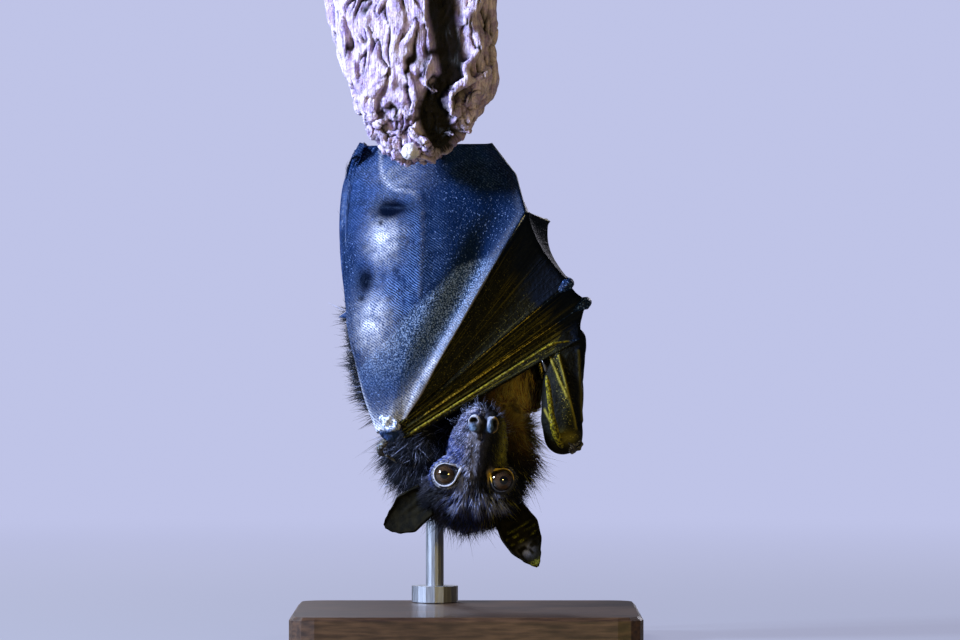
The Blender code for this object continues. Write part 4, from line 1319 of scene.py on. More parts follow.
# The pale rims take a painted warm glint and the nostril lobes a painted blue light; the muzzle's grey is
# kept to its lit side, and the pits and creases are painted dark as shade.
coat_skin.colour(coat_skin.marked(
    coat_skin.blend((MOTTLE, 5), (0.010, 0.010, 0.014), (0.024, 0.023, 0.032)),
    rust=(0.20, 0.085, 0.014),
    greyed=(0.022, 0.026, 0.070),
    bare=coat_skin.blend((MOTTLE, 3), (0.075, 0.070, 0.090), (0.17, 0.16, 0.20)),
    pale=coat_skin.marked(pale_rim, amber=(0.90, 0.54, 0.055)),
    blue=coat_skin.blend((MOTTLE, 1.5), (0.035, 0.058, 0.115), (0.12, 0.18, 0.29)),
    hole=(0.004, 0.003, 0.003)))
coat_skin.relief(specks, 0.1, coat_skin.relief((CELLS, 0.8, 0.0, 0.7), 0.14))

# Fine wrinkles slant down the wing, a little over a millimetre apart.
WRINKLE_APART = 1.2
wing_skin = Finish("wing_skin", 0.46, Specular_IOR_Level=0.12, Specular_Tint=(0.35, 0.55, 1.0, 1))
on_wing = add_node(wing_skin.tree, "ShaderNodeTexCoord").outputs["Object"]
slanted = add_node(wing_skin.tree, "ShaderNodeMapping",
                   {"Vector": on_wing, "Rotation": (0, radians(54), 0)}).outputs["Vector"]
waves = add_node(wing_skin.tree, "ShaderNodeTexWave", {
    "Vector": slanted, "Scale": 1 / (3.2 * WRINKLE_APART * MM), "Distortion": 7.5, "Detail": 3,
    "Detail Scale": 0.5}).outputs["Fac"]
lines = wing_skin.sum("POWER", waves, 3.2)
lines = wing_skin.sum("MULTIPLY", lines, "stripe")
lines = wing_skin.sum("MULTIPLY", lines, (MOTTLE, 5, 0.30, 0.62))
dust = (SPECKS, 0.85, 0.54, 0.72)
slate = wing_skin.blend((MOTTLE, 14), (0.0008, 0.0065, 0.030), (0.0035, 0.019, 0.080))
slate = wing_skin.blend(lines, slate, (0.22, 0.38, 0.82))
slate = wing_skin.blend(dust, slate, (0.08, 0.13, 0.33))
ash = wing_skin.blend((MOTTLE, 7), (0.010, 0.026, 0.070), (0.027, 0.056, 0.130))
cloud = wing_skin.sum("ADD", wing_skin.sum("MULTIPLY", (SPECKS, 0.9, 0.36, 0.62), 0.5),
                      wing_skin.sum("MULTIPLY", waves, 0.5))
# Painted light and shade lie over the slate: dusky painted shade, the grey of a painted shadow, painted
# highlights and painted shade in the pits.
wing_skin.colour(wing_skin.marked(
    slate,
    dusk=wing_skin.blend((SPECKS, 0.95, 0.62, 0.72), (0.0008, 0.0085, 0.038), (0.20, 0.29, 0.55)),
    ash=wing_skin.blend((SPECKS, 0.72, 0.47, 0.62), ash, (0.29, 0.39, 0.63)),
    glow=wing_skin.blend(cloud, (0.035, 0.065, 0.20), (1.0, 0.97, 1.0)),
    rim=(0.24, 0.20, 0.18),
    pit=(0.001, 0.003, 0.012)))
wrinkles = wing_skin.relief(lines, 0.22)
wing_skin.relief(dust, 0.08, wing_skin.relief((MOTTLE, 1.3, 0.3, 0.7), 0.14, wrinkles))

# Fine creases run along the folded hand, from the wrist outwards, with painted gold glints of the warm lamp
# along them.
web_skin = Finish("web_skin", 0.62, Specular_IOR_Level=0.10)
on_web = add_node(web_skin.tree, "ShaderNodeCombineXYZ", {
    "X": web_skin.sum("MULTIPLY", "share_u", 9.0), "Y": web_skin.sum("MULTIPLY", "share_v", 2.2)})
creases = add_node(web_skin.tree, "ShaderNodeTexNoise",
                   {"Vector": on_web.outputs["Vector"], "Scale": 2.4, "Detail": 4}).outputs["Fac"]
creases = web_skin.span(creases, 0.55, 0.66)
sparks = (SPECKS, 0.7, 0.60, 0.74)
moss = web_skin.blend((MOTTLE, 3), (0.005, 0.0050, 0.0012), (0.026, 0.025, 0.005))
moss = web_skin.blend(creases, moss, (0.34, 0.26, 0.028))
dark = web_skin.blend((MOTTLE, 6), (0.0016, 0.0017, 0.0012), (0.0048, 0.0048, 0.0028))
dark = web_skin.blend(sparks, dark, (0.030, 0.028, 0.012))
dark = web_skin.blend(web_skin.sum("MULTIPLY", creases, 0.25), dark, (0.05, 0.042, 0.010))
# Over the dark skin lie painted olive and gold light of the warm lamp, and painted blue-black shade.
web_skin.colour(web_skin.marked(
    dark,
    behind=web_skin.blend((MOTTLE, 3), (0.006, 0.0055, 0.007), (0.018, 0.016, 0.019)),
    moss=web_skin.blend(sparks, moss, (0.75, 0.58, 0.08)),
    gilt=(0.50, 0.40, 0.05),
    night=(0.0016, 0.0042, 0.0120)))
web_skin.relief(creases, 0.3, web_skin.relief((MOTTLE, 2.2, 0.3, 0.7), 0.25))

finger_skin = Finish("finger_skin", 0.40, Specular_IOR_Level=0.14)
# The hand's bones are painted gold as lit by the warm lamp, dimmer on some, and blue-black as shade past
# its reach; the others are cool blue with painted highlights.
gold = finger_skin.marked(
    finger_skin.blend((SPECKS, 1.1, 0.42, 0.66), (0.14, 0.10, 0.012), (0.90, 0.66, 0.08)),
    dull=finger_skin.blend((SPECKS, 1.2, 0.42, 0.66), (0.040, 0.033, 0.003), (0.32, 0.26, 0.014)),
    night=finger_skin.blend((SPECKS, 1.1, 0.54, 0.70), (0.004, 0.014, 0.050), (0.16, 0.27, 0.56)))
cool = finger_skin.marked(
    finger_skin.blend((MOTTLE, 4), (0.010, 0.024, 0.080), (0.030, 0.060, 0.160)),
    glow=finger_skin.blend((SPECKS, 1.0, 0.36, 0.60), (0.14, 0.20, 0.42), (0.95, 0.96, 1.0)))
finger_skin.colour(finger_skin.blend("olive", cool, gold))
finger_skin.relief((CELLS, 1.1, 0.0, 0.7), 0.22)

ear_skin = Finish("ear_skin", 0.75, Specular_IOR_Level=0.06)
# The right ear takes a painted gold glint and a painted pale sheen.
ear_skin.colour(ear_skin.marked(
    ear_skin.blend((MOTTLE, 4), (0.0028, 0.0023, 0.0010), (0.010, 0.0078, 0.003)),
    gilt=ear_skin.blend((SPECKS, 0.9, 0.4, 0.66), (0.030, 0.028, 0.004), (0.20, 0.19, 0.02)),
    glow=(0.60, 0.58, 0.70)))
ear_skin.relief((CELLS, 0.8, 0.0, 0.7), 0.12)


def chest_rust(x, y, z):
    """How rusty the coat is at a place, from 0 to 1."""
    patch = mound(x, 36, 14, z, 130.5, 13) * (y < 12)
    return held(patch * 2.0)


def muzzle_grey_lit(points):
    """How grey the muzzle and brow are at a place, from 0 to 1: a real grey, kept to the side lit by the
    cool lamp as painted light.
    """
    a, n, c = head_sizes(points).T
    grey = eased(n, 5, 16) * (c > -9) + 0.3 * mound(a, -4, 9, n, -2, 9) * (c > 3)
    grey += 0.30 * mound(a, -24, 4, n, 3, 8)
    return held(grey * (1 - 0.97 * eased(a, -0.5, 3.0)))


paint(body.data, rust=chest_rust(*(places_of(body.data) / MM).T) * 0.8)
paint(head.data, greyed=muzzle_grey_lit(places_of(head.data)))
for piece in [body, head, *lids, *feet]:
    piece.data.materials.clear()
    piece.data.materials.append(coat_skin.material)
for piece in wing_parts:
    piece.data.materials.append((wing_skin if piece == front else web_skin).material)
for piece in bones:
    piece.data.materials.append(finger_skin.material)
for piece in ears:
    piece.data.materials.append(ear_skin.material)

flank_skin = next(piece for piece in wing_parts if piece.name.startswith("membrane_left_shoulder"))
furred_meshes = {"body": body.data.copy(), "head": head.data.copy(), "flank": flank_skin.data.copy()}
# Hair may not pierce what is bare, but it does lie over the foot of each ear.
stopping = []
for piece in [*wing_parts, *bones, *ears, *lids, *feet]:
    faces = [tuple(p.vertices) for p in piece.data.polygons]
    if piece in ears:
        up_ear = [d.value for d in piece.data.attributes["share_v"].data]
        faces = [face for face in faces if up_ear[face[0]] > 0.42]
    stopping.append((places_of(piece.data), faces))

# Where the skin is even it needs fewer faces.
LIGHTER = [(head, 0.5), (body, 0.25), (front, 0.6), (lobe, 0.5), *[(foot, 0.5) for foot in feet]]
LIGHTER += [(piece, 0.6) for piece in wing_parts if piece.name.startswith("web_")]
for piece, ratio in LIGHTER:
    finish_modifier(piece, "DECIMATE", ratio=ratio)
skin = joined("skin", [body, head, *lids, *feet, *wing_parts, *bones, *ears])
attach(skin, "root")
FLESH = ["trunk", "neck", "head", "jaw"]
for side in SIDES:
    FLESH += [f"{part}_{side}" for part in (
        "ear", "thigh", "shank", "foot", "upper_arm", "forearm", "wrist", "thumb")]
    FLESH += [f"finger_{side}_{number}" for number in (2, 3, 4, 5)]
    FLESH += [f"web_{side}_{low}_{low + 1}" for low in (2, 3, 4)]
    FLESH += [f"membrane_{side}_back", f"membrane_{side}_shoulder"]
FLESH.append("membrane_left_front")
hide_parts(*FLESH)

# ------------------------------------------------------------------- the eyes
# Glossy brown eyes: a round dark pupil, an iris with fine spokes that darkens
# to its edge, and a clear wet surface over both.
eye_look = Finish("eye", 0.06, Coat_Weight=1.0, Coat_Roughness=0.02)
iris = eye_look.blend((CELLS, 0.5, 0.0, 0.8), (0.026, 0.014, 0.007), (0.068, 0.037, 0.018))
iris = eye_look.blend(eye_look.span("off_gaze", 0.58, 0.80), iris, (0.005, 0.004, 0.004))
eye_look.colour(eye_look.blend(eye_look.span("off_gaze", 0.29, 0.33), (0.002, 0.002, 0.002), iris))
for side in SIDES:
    middle, gaze, inward, up = eye_frame(side)

    def ball(along, angle, middle=middle, gaze=gaze, inward=inward, up=up):
        polar = pi * along
        bulge = 1 + 0.03 * exp(-(polar / 0.6) ** 2)
        return middle + (gaze * cos(polar) + (inward * cos(angle) + up * sin(angle))
                         * sin(polar)) * EYE_RADIUS * bulge * MM

    eyeball = closed_form(f"eyeball_{side}", ball, 48, 64)
    rays = places_of(eyeball.data) - np.array(middle)
    rays /= np.linalg.norm(rays, axis=1)[:, None]
    paint(eyeball.data, off_gaze=np.arccos(np.clip(rays @ np.array(gaze), -1, 1)))
    eyeball.data.materials.append(eye_look.material)
    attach(eyeball, "root")
    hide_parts(f"eye_{side}")

# ------------------------------------------------------------------ the claws
# Hooked claws of dark horn, one on each toe and
# thumb.
horn = Finish("claw_horn", 0.28, Coat_Weight=0.4)
horn.colour(horn.blend((GRAIN, 1.2), (0.020, 0.018, 0.018), (0.085, 0.075, 0.065)))
horn.relief((GRAIN, 0.8), 0.04)
claw_nodes = [f"claw_{side}_{count}" for side in SIDES for count in range(5)]
for node in [*claw_nodes, "claw_thumb_left", "claw_thumb_right"]:
    claw = copied(node, node + "_horn")
    finish_modifier(claw, "SUBSURF", levels=2, render_levels=2)
    claw.data.shade_smooth()
    claw.data.materials.append(horn.material)
    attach(claw, "root")
    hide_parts(node)

# ------------------------------------------------------------------- the coat
# Sooty fur in fine pointed tufts that follow the lie of the coat: short on the
# face, grizzled on the brow, rusty at the collar and long on ruff and back.
draw = np.random.default_rng(17)
CLEARANCE = 0.3  # how far a hair's end stays from what is bare

# Everything bare that a hair may not pierce, as one search tree.
barrier_points, barrier_faces = [], []
for corners, polygons in stopping:
    barrier_faces += [tuple(i + len(barrier_points) for i in face) for face in polygons]
    barrier_points += [Vector(p) for p in corners]
BARRIER = BVHTree.FromPolygons(barrier_points, barrier_faces)


def unwrap(mesh):
    """Unwraps a skin by its own shape and gives the map's corners for each face."""
    piece = bpy.data.objects.new("unwrap", mesh)
    bpy.context.scene.collection.objects.link(piece)
    alone(piece)
    bpy.ops.object.mode_set(mode="EDIT")
    bpy.ops.mesh.select_all(action="SELECT")
    bpy.ops.mesh.quads_convert_to_tris()
    bpy.ops.uv.smart_project(angle_limit=radians(66), island_margin=0.004)
    bpy.ops.object.mode_set(mode="OBJECT")
    bpy.data.objects.remove(piece)
    uv = np.empty(len(mesh.loops) * 2, np.float32)
    mesh.uv_layers.active.data.foreach_get("uv", uv)
    loops = np.empty(len(mesh.loops), np.int32)
    mesh.loops.foreach_get("vertex_index", loops)
    return loops.reshape(-1, 3), uv.reshape(-1, 3, 2)


class Ground:
    """A furred skin from which roots are drawn evenly."""

    def __init__(self, mesh):
        self.corners, self.uv = unwrap(mesh)
        self.points, self.facing = places_of(mesh), normals_of(mesh)
        a, b, c = (self.points[self.corners[:, i]] for i in range(3))
        area = np.linalg.norm(np.cross(b - a, c - a), axis=1)
        self.share = area / area.sum()

    def roots(self, count):
        """Random roots: their places, the way the skin faces, and where they lie on the map."""
        chosen = draw.choice(len(self.share), count, p=self.share)
        r1, r2 = np.sqrt(draw.random(count)), draw.random(count)
        weights = np.stack([1 - r1, r1 * (1 - r2), r1 * r2], axis=1)[:, :, None]
        place = (self.points[self.corners[chosen]] * weights).sum(1)
        facing = (self.facing[self.corners[chosen]] * weights).sum(1)
        facing /= np.linalg.norm(facing, axis=1)[:, None]
        return place, facing, (self.uv[chosen] * weights).sum(1)


def unit(rows):
    """Rows of numbers as directions of length 1."""
    return rows / np.maximum(np.linalg.norm(rows, axis=1), 1e-9)[:, None]


def bright(points, size, seed):
    """The same waves as ripple, from 0 to 1."""
    return ripple(points, size, seed) * 0.5 + 0.5


def trimmed(place, way, length):
    """The length of each hair, less where it would reach a wing, ear or lid."""
    length = length.copy()
    for i in range(len(place)):
        gap = BARRIER.ray_cast(Vector(place[i]), Vector(way[i]), float(length[i]) * 1.3)[3]
        if gap is not None:
            length[i] = min(length[i], (gap - CLEARANCE * MM) * 0.9)
    return length


# A tuft is a thin spike of three sides, sunk a little into the skin. It bends at
# its knee, which has this share of its length and of its width.
TUFT_SIDES = 3
TUFT_SUNK = 0.3
KNEE_LENGTH, KNEE_WIDTH = 0.45, 0.72
SHORTEST_TUFT = 0.7
PATCH = 0.003  # the side of a tuft's patch on the map of the skin
TONES = ("grizzle", "rust", "tone", "greyed", "azure", "olive")


def coat(name, place, facing, spot, way, lift, length, width, curl, tones):
    """One piece of the coat. Each tuft starts out along its lift and bends down to its way."""
    first = unit(facing * lift[:, None] + way)
    second = unit(facing * (lift * curl)[:, None] + way)
    reach = trimmed(place, unit(first + second), length)
    keep = reach > SHORTEST_TUFT * MM
    place, facing, spot, first, second = (a[keep] for a in (place, facing, spot, first, second))
    reach, width = reach[keep], width[keep]
    count = len(place)
    side = unit(np.cross(first, facing) + 1e-6)
    over = np.cross(side, first)
    turn = draw.random(count) * 2 * pi
    low = place - facing * TUFT_SUNK * MM
    knee = low + first * (reach * KNEE_LENGTH)[:, None]
    per = 2 * TUFT_SIDES + 1
    verts = np.empty((count, per, 3))
    for k in range(TUFT_SIDES):
        angle = turn + 2 * pi * k / TUFT_SIDES
        spread = side * np.cos(angle)[:, None] + over * np.sin(angle)[:, None]
        verts[:, k] = low + spread * width[:, None]
        verts[:, TUFT_SIDES + k] = knee + spread * (width * KNEE_WIDTH)[:, None]
    verts[:, -1] = knee + second * (reach * (1 - KNEE_LENGTH))[:, None]
    faces, patch = [], []
    for k in range(TUFT_SIDES):
        n = (k + 1) % TUFT_SIDES
        lo, hi = k / TUFT_SIDES, (k + 1) / TUFT_SIDES
        faces += [(k, n, TUFT_SIDES + n), (k, TUFT_SIDES + n, TUFT_SIDES + k),
                  (TUFT_SIDES + k, TUFT_SIDES + n, 2 * TUFT_SIDES)]
        patch += [((lo, 0), (hi, 0), (hi, 0.5)), ((lo, 0), (hi, 0.5), (lo, 0.5)),
                  ((lo, 0.5), (hi, 0.5), ((lo + hi) / 2, 1))]
    index = (np.array(faces)[None] + (np.arange(count) * per)[:, None, None]).reshape(-1)
    mesh = bpy.data.meshes.new(name)
    mesh.vertices.add(count * per)
    mesh.vertices.foreach_set("co", verts.astype(np.float32).ravel())
    mesh.loops.add(len(index))
    mesh.loops.foreach_set("vertex_index", index.astype(np.int32))
    mesh.polygons.add(len(index) // 3)
    mesh.polygons.foreach_set("loop_start", np.arange(0, len(index), 3, dtype=np.int32))
    mesh.update(calc_edges=True)
    mesh.shade_smooth()
    uv = spot[:, None, None, :] + (np.array(patch)[None] - 0.5) * PATCH
    mesh.uv_layers.new(name="OFBake").data.foreach_set("uv", uv.astype(np.float32).ravel())
    paint(mesh, along=np.tile([0.0] * TUFT_SIDES + [KNEE_LENGTH] * TUFT_SIDES + [1.0], count))
    for tone in TONES:
        here = tones[tone][keep] if tone in tones else np.zeros(count)
        paint(mesh, **{tone: np.repeat(here, per)})
    mesh.validate()
    piece = bpy.data.objects.new(name, mesh)
    bpy.context.scene.collection.objects.link(piece)
    piece.data.materials.append(fur.material)
    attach(piece, "root")
    return piece


fur = Finish("fur", 0.5, Specular_IOR_Level=0.16)
# The blue tips are a painted sheen of the cool lamp and the gold ones a painted glint of the warm lamp.
sooty_root = fur.blend("tone", (0.0010, 0.0010, 0.0016), (0.003, 0.003, 0.0045))
sooty_tip = fur.blend("tone", (0.0024, 0.0029, 0.0050), (0.020, 0.024, 0.040))
rusty_tip = fur.blend("tone", (0.90, 0.42, 0.045), (1.0, 0.88, 0.26))
grey_tip = fur.blend("azure", (0.95, 0.86, 1.0), (0.13, 0.24, 0.95))
hair = fur.marked(
    fur.blend("along", sooty_root, sooty_tip),
    rust=fur.blend("along", (0.24, 0.090, 0.010), rusty_tip),
    greyed=fur.blend("along", (0.010, 0.014, 0.050), grey_tip),
    olive=fur.blend("along", (0.020, 0.018, 0.003), (0.85, 0.74, 0.09)))
frosted_end = fur.sum("MULTIPLY", "grizzle", fur.sum("POWER", "along", 0.7))
fur.colour(fur.blend(frosted_end, hair, (0.62, 0.66, 1.0)))

grounds = {name: Ground(mesh) for name, mesh in furred_meshes.items()}
for mesh in furred_meshes.values():
    bpy.data.meshes.remove(mesh)


def lay(names, order, rows, curl, tones):
    """Splits a coat into its pieces in the order given, and makes each one."""
    for name, chosen in zip(names, np.array_split(order, len(names))):
        coat(name, *(row[chosen] for row in rows), curl, {k: v[chosen] for k, v in tones.items()})


def wander(place, size, seed, amount):
    """A smooth drift of the lie of the coat, which gathers it in locks."""
    return np.stack([ripple(place, size * MM, seed + i) for i in range(3)], axis=1) * amount


# --- the head's hair lies back from the nose, over the crown
# Where pale strands fan over the forehead: x, z, their reaches and the strength.
BROW_STRANDS = [(-4.0, 95, 2.4, 4, 0.8), (-3.0, 86, 2.6, 7, 1.0), (6.0, 81, 3.6, 4, 1.0),
                (15, 80, 5.5, 3.5, 0.55), (1.5, 93, 2.4, 6, 0.5)]
count = 46000
place, facing, spot = grounds["head"].roots(count)
a, n, c = head_sizes(place).T
nose_dir, across_dir = np.array(TO_NOSE), np.array(ACROSS)
bald = np.zeros(count, bool)
from_eye = np.full(count, 99.0)
for side in SIDES:
    middle, gaze, inward, up = eye_frame(side)
    away = place - np.array(middle)
    near = np.linalg.norm(away, axis=1) / MM
    level = np.stack([away @ np.array(inward), away @ np.array(up)], axis=1) / MM
    off = np.linalg.norm(level, axis=1)
    bald |= (near < EYE_RADIUS + 1.8) & (off < 7.3) & (away @ np.array(gaze) > 0)
    by_eye = np.flatnonzero((off < 11.5) & (away @ np.array(gaze) > 0))
    opening = np.array([lid_reach(side, angle) for angle in np.arctan2(level[by_eye, 1], level[by_eye, 0])])
    towards_nose = held(level[by_eye, 0] / off[by_eye])
    bald[by_eye] |= off[by_eye] < opening + 1.3 + 1.8 * towards_nose**6
    from_eye = np.minimum(from_eye, near - EYE_RADIUS)
    tall, beside = ((place - np.array(NOSTRIL[side]["rim"])) @ np.array(NOSTRIL[side][direction]) / MM
                    for direction in ("up", "spread"))
    bald |= (np.hypot(tall / 5.7, beside / 4.1) < 1) & (n > 33)
x, _, z = (place / MM).T
bald |= (np.abs(a) < 2.6 + 0.08 * np.clip(n - 8, 0, 30)) & (n > 7) & (c > 1) & (draw.random(count) < 0.92)
bald |= (np.hypot((x - GLINT_X) / 2.0, (z - GLINT_Z) / 4.6) < 1) & (c > 0) & (draw.random(count) < 0.9)
length = np.interp(n, [-31, -20, -8, 2, 10, 20, 40], [9.5, 8.5, 6.8, 4.6, 3.6, 2.9, 2.6])
brow = mound(a, 0, 12, n, -4, 9) * (c > 3)
at_ear = mound(np.abs(a), 22, 6, n, -13, 9)
length = length * (1 + 0.30 * brow + 0.55 * at_ear) * np.clip(0.45 + from_eye / 5, 0.45, 1)
length *= draw.uniform(0.65, 1.25, count) * (1 - 0.4 * eased(n, 12, 18) * eased(-a, 8, 12))
way = -nose_dir + across_dir * (np.sign(a) * np.clip(np.abs(a) / 26, 0, 0.9))[:, None]
way = way + wander(place, 5, 31, 0.30) + draw.normal(0, 0.14, (count, 3))
way = unit(way - facing * (way * facing).sum(1)[:, None])
lift = np.interp(n, [-31, -8, 10, 30], [0.80, 0.50, 0.50, 0.60]) * draw.uniform(0.5, 1.5, count)
strands = sum(share * mound(x, cx, rx, z, cz, rz) for cx, cz, rx, rz, share in BROW_STRANDS)
strands *= (c > 0) & (bright(place * np.array([1, 1, 0.30]), 1.5 * MM, 45) > 0.46)
on_muzzle = 0.25 * eased(n, 4, 14)
grizzle = held(0.10 + brow + on_muzzle) * (bright(place, 2.6 * MM, 41) * 1.5 - 0.2)
grizzle = held(grizzle) * (draw.random(count) < 0.10 + 0.14 * brow + on_muzzle)
grizzle *= 1 - 0.85 * eased(a, -1, 4) * eased(n, 0, 8)
fan = held(strands * 1.8) * (draw.random(count) < 0.75) * draw.uniform(0.6, 1, count)
grizzle = np.maximum(grizzle * 0.6, fan)
# A painted blue sheen of the cool lamp lies on the hairs round the left eye and on that side of the muzzle,
# and a painted gold glint of the warm lamp on hairs of the right.
halo = mound(a, -23, 4, n, 3, 7) + eased(-a, 5, 9) * eased(n, 5, 9) * (1 - 0.5 * eased(n, 20, 30))
azure = held(halo) * (draw.random(count) < 0.65)
azure = np.maximum(azure, (draw.random(count) < 0.24) * eased(-a, -10, -6) * eased(a, -19, -8) * (n < 2))
flecks = (draw.random(count) < 0.14) * (n > 2) * (a < -1)
light_share = mix(0.60, 0.50, eased(-a, 7, 11)) + 0.2 * hill(a, -5, 2.5)
lit = np.where(draw.random(count) < light_share, 1.0, 0.10)
lit *= 0.15 + 0.85 * (bright(place, 1.5 * MM, 43) > 0.46)
warm_lit_hairs = hill(a, 12.5, 2.6) * eased(n, 6, 12) * (draw.random(count) < 0.7)
warm_lit_hairs = np.maximum(warm_lit_hairs, eased(a, 2, 12) * (draw.random(count) < 0.06))
tones = {"grizzle": np.maximum(grizzle * (1 - 0.5 * azure), flecks), "tone": draw.random(count) ** 4,
         "greyed": np.maximum(muzzle_grey_lit(place) * lit, 0.8 * azure * np.maximum(halo * 0.7, 0.5)),
         "azure": azure, "olive": warm_lit_hairs}
width = np.interp(length, [1.5, 9], [0.13, 0.20])
fanned = (strands > 0.25) & (grizzle > 0.3)
length = np.where(fanned, length * 1.25, length)
width = np.where(fanned, 0.30, np.where(flecks, 0.22, width))
lift = np.where(fanned, lift + 0.35, lift)
keep = ~bald & ~((c < -4) & (n < 4))
rows = [row[keep] for row in (place, facing, spot, way, lift, length * MM, width * MM)]
tones = {key: value[keep] for key, value in tones.items()}
lay(("coat_crown", "coat_brow", "coat_muzzle"), np.argsort(n[keep]), rows, 0.4, tones)

# --- stiff bristles stand round the lips
count = 110
choice = draw.choice(len(rows[0]), 6000, replace=False)
a, n, c = head_sizes(rows[0][choice]).T
by_lips = choice[(n > 27) & (c < -1) & (c > -13)][:count]
place, facing = rows[0][by_lips], rows[1][by_lips]
way = unit(facing + nose_dir * 0.35 + draw.normal(0, 0.3, place.shape))
count = len(place)
coat("coat_bristles", place, facing, rows[2][by_lips], way, np.full(count, 0.8),
     draw.uniform(3.5, 8.5, count) * MM, np.full(count, 0.06 * MM), 0.8,
     {"grizzle": draw.uniform(0.3, 1, count), "tone": np.ones(count)})

# --- the body's hair: a ruff that stands out, and a back whose coat runs tailwards
count = 130000
place, facing, spot = grounds["body"].roots(count)
# Most roots that lie close under a wing are left out.
UNDER_WING = 22 * MM
hidden = np.array([BARRIER.ray_cast(Vector(p), Vector(f), UNDER_WING)[0] is not None
                   for p, f in zip(place, facing)]) & (draw.random(count) < 0.85)
a, n, c = head_sizes(place).T
in_skull = (np.abs(a) < 18) & (n > -22) & (n < 34) & (np.abs(c + 4) < 11)
keep = np.flatnonzero(~hidden & ~in_skull)[:100000]
place, facing, spot = place[keep], facing[keep], spot[keep]
count = len(place)
x, y, z = (place / MM).T
ruff = held((128 - z) / 14)
rusty = chest_rust(x, y, z)
left_back = mound(x, -46, 15, z, 148, 34) * (y > -14)
length = mix(8.5, 13.0, ruff) * (1 - 0.3 * rusty) * draw.uniform(0.6, 1.2, count)
length = length + 4.5 * left_back + 1.8 * ruff * eased(x, 22, 34)
locks = bright(place, 3.6 * MM, 71)
length = length * mix(1.0, 0.55 + 0.9 * locks, np.maximum(ruff, left_back))
guard = draw.random(count) < 0.07
length = np.where(guard, length * 1.35, length)
length = np.where(z > 232, length * 0.6, length)
length = np.where((z > 190) & (x > 8), length * 0.5, length)
down, tailward = np.array([0, 0, -1.0]), np.array([0, 0, 1.0])
way = tailward * (1 - ruff)[:, None] + down * (0.35 * ruff)[:, None] + facing * (0.35 * ruff)[:, None]
way = way + wander(place, 6, 51, 0.45) * (1 - 0.5 * ruff)[:, None] + draw.normal(0, 0.16, (count, 3))
way = unit(way - facing * (way * facing).sum(1)[:, None] * 0.85)
lift = (mix(0.55, 1.35, ruff) + 0.7 * left_back) * draw.uniform(0.55, 1.45, count)
on_left = eased(-x, -12, 8)
grizzle = held(ruff * on_left * (bright(place, 4 * MM, 61) * 1.7 - 0.4))
grizzle = grizzle * (draw.random(count) < 0.13) + 0.03 * on_left * draw.random(count)
# A few hairs on the right of the ruff take a painted gold glint of the warm lamp.
tones = {"grizzle": held(grizzle) * (1 - rusty), "rust": rusty * draw.uniform(0.8, 1, count),
         "tone": draw.random(count) ** np.where(rusty > 0.3, 0.4, 4.0),
         "olive": 0.8 * ruff * eased(x, 15, 30) * (draw.random(count) < 0.05)}
width = np.where(guard, 0.16, draw.uniform(0.16, 0.27, count))
rows = [place, facing, spot, way, lift, length * MM, width * MM]
lay(("coat_ruff", "coat_collar", "coat_chest", "coat_shoulders", "coat_back", "coat_rump"),
    np.argsort(z), rows, 0.5, tones)

# --- hair of the shoulder stands out behind the folded forearm
count = 26000
place, facing, spot = grounds["flank"].roots(count)
x, y, z = (place / MM).T
keep = np.flatnonzero((z > 116) & (z < 181) & (facing[:, 0] < -0.10) & (x < -38))[:8000]
place, facing, spot = place[keep] + facing[keep] * 0.15 * MM, facing[keep], spot[keep]
count = len(place)
locks = bright(place, 3.0 * MM, 77)
way = unit(np.array([-1.0, 0.25, -0.2]) + wander(place, 4, 57, 0.6) + draw.normal(0, 0.22, (count, 3)))
coat("coat_flank", place, facing, spot, way, np.full(count, 0.5),
     draw.uniform(9, 16, count) * (0.35 + 1.05 * locks**1.5) * MM,
     draw.uniform(0.25, 0.42, count) * MM, 0.5,
     {"grizzle": 0.5 * (draw.random(count) < 0.04), "tone": draw.random(count) ** 4})

# ----------------------------------------------------------------- the studio
# The model stands on a plain pale floor. A large cool lamp from the upper left
# gives the wing its blue sheen, and a smaller warm one lights the right side.
VIEW_X, VIEW_DISTANCE, VIEW_HEIGHT = 7.4, 2933, 176.75
BAT_MIDDLE = at(0, 0, 170)
PALE_AIR = (0.52, 0.55, 0.80, 1)
camera = bpy.data.objects.new("camera", bpy.data.cameras.new("camera"))
camera.location = at(VIEW_X, -VIEW_DISTANCE, VIEW_HEIGHT)
camera.rotation_euler = (radians(90), 0, 0)
camera.data.lens = 200
camera.data.sensor_width = 36
bpy.context.scene.collection.objects.link(camera)
bpy.context.scene.camera = camera
bpy.context.scene.view_settings.view_transform = "Standard"

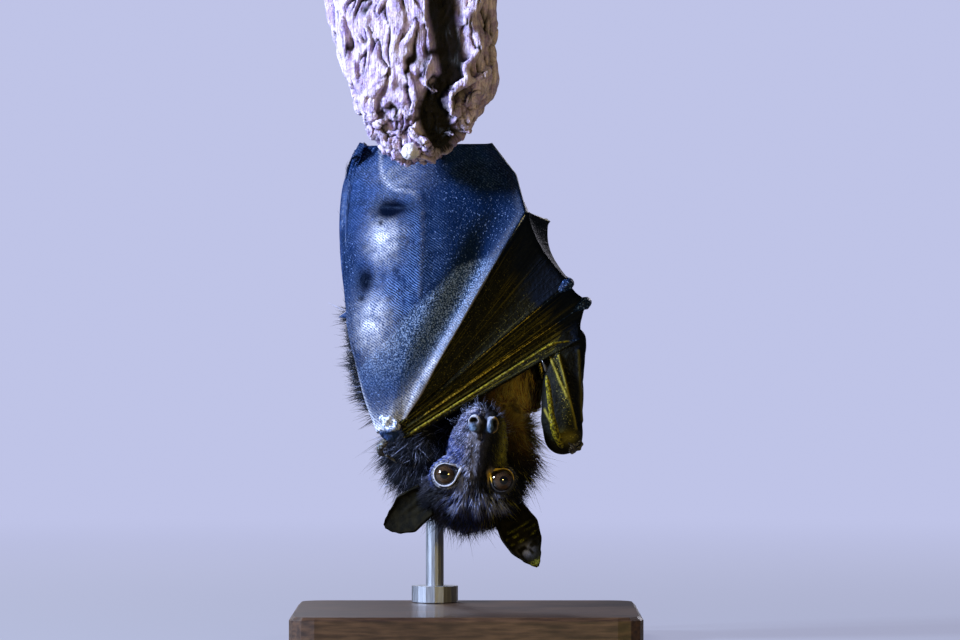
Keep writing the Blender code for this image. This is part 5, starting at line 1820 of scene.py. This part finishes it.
# Each lamp is square and looks at the bat: its place, its side in millimetres,
# its power in watts and its colour.
LAMPS = {
    "key_lamp": (at(-1480, -700, 800), 320, 80, (0.58, 0.72, 1.0)),
    "side_lamp": (at(500, -1360, 230), 110, 4.2, (1.0, 0.78, 0.22)),
    "back_lamp": (at(-500, 1200, 900), 500, 14, (0.80, 0.84, 1.0)),
    "rim_lamp": (at(700, 1300, 700), 400, 5, (0.88, 0.86, 1.0)),
}
for name, (place, size, watts, colour) in LAMPS.items():
    light = bpy.data.lights.new(name, "AREA")
    light.size = size * MM
    light.energy = watts
    light.color = colour
    lamp = bpy.data.objects.new(name, light)
    lamp.location = place
    lamp.rotation_euler = (BAT_MIDDLE - place).to_track_quat("-Z", "Y").to_euler()
    bpy.context.scene.collection.objects.link(lamp)

# The air is pale lavender to look at, and lights the model only faintly.
world = bpy.data.worlds.new("studio_air")
world.use_nodes = True
air = world.node_tree
pale_air = air.nodes["Background"]
pale_air.inputs["Color"].default_value = PALE_AIR
dim_air = add_node(air, "ShaderNodeBackground", {"Color": (0.55, 0.62, 0.90, 1), "Strength": 0.06})
seen = add_node(air, "ShaderNodeLightPath").outputs["Is Camera Ray"]
either = add_node(air, "ShaderNodeMixShader", {"Fac": seen, 1: dim_air.outputs[0], 2: pale_air.outputs[0]})
air.links.new(either.outputs["Shader"], air.nodes["World Output"].inputs["Surface"])
bpy.context.scene.world = world

bpy.ops.object.select_all(action="DESELECT")
bpy.ops.mesh.primitive_plane_add(size=8, location=(0, 0, 0))
floor = bpy.context.object
floor.name = "studio_floor"
floor_paint = Finish("floor_paint", 0.85)
floor_tree = floor_paint.tree
# Far off, the floor takes the colour of the air, so that no edge shows.
place = add_node(floor_tree, "ShaderNodeTexCoord").outputs["Object"]
how_far = add_node(floor_tree, "ShaderNodeVectorMath", {0: place}, operation="LENGTH").outputs["Value"]
looked_at = add_node(floor_tree, "ShaderNodeLightPath").outputs["Is Camera Ray"]
fading = floor_paint.span(how_far, 0.25, 1.9, "SMOOTHSTEP", to_low=0.62)
share_of_air = floor_paint.sum("MULTIPLY", fading, looked_at)
# It is pale to look at, but darker where it only throws light back.
floor_paint.colour(floor_paint.span(looked_at, 0, 1, to_low=0.09, to_high=0.23))
haze = add_node(floor_tree, "ShaderNodeEmission", {"Color": PALE_AIR})
matt = floor_tree.nodes["Principled BSDF"]
faded = add_node(floor_tree, "ShaderNodeMixShader",
                 {"Fac": share_of_air, 1: matt.outputs["BSDF"], 2: haze.outputs["Emission"]})
floor_tree.links.new(faded.outputs["Shader"], floor_tree.nodes["Material Output"].inputs["Surface"])
floor.data.materials.append(floor_paint.material)
floor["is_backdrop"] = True

low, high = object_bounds()
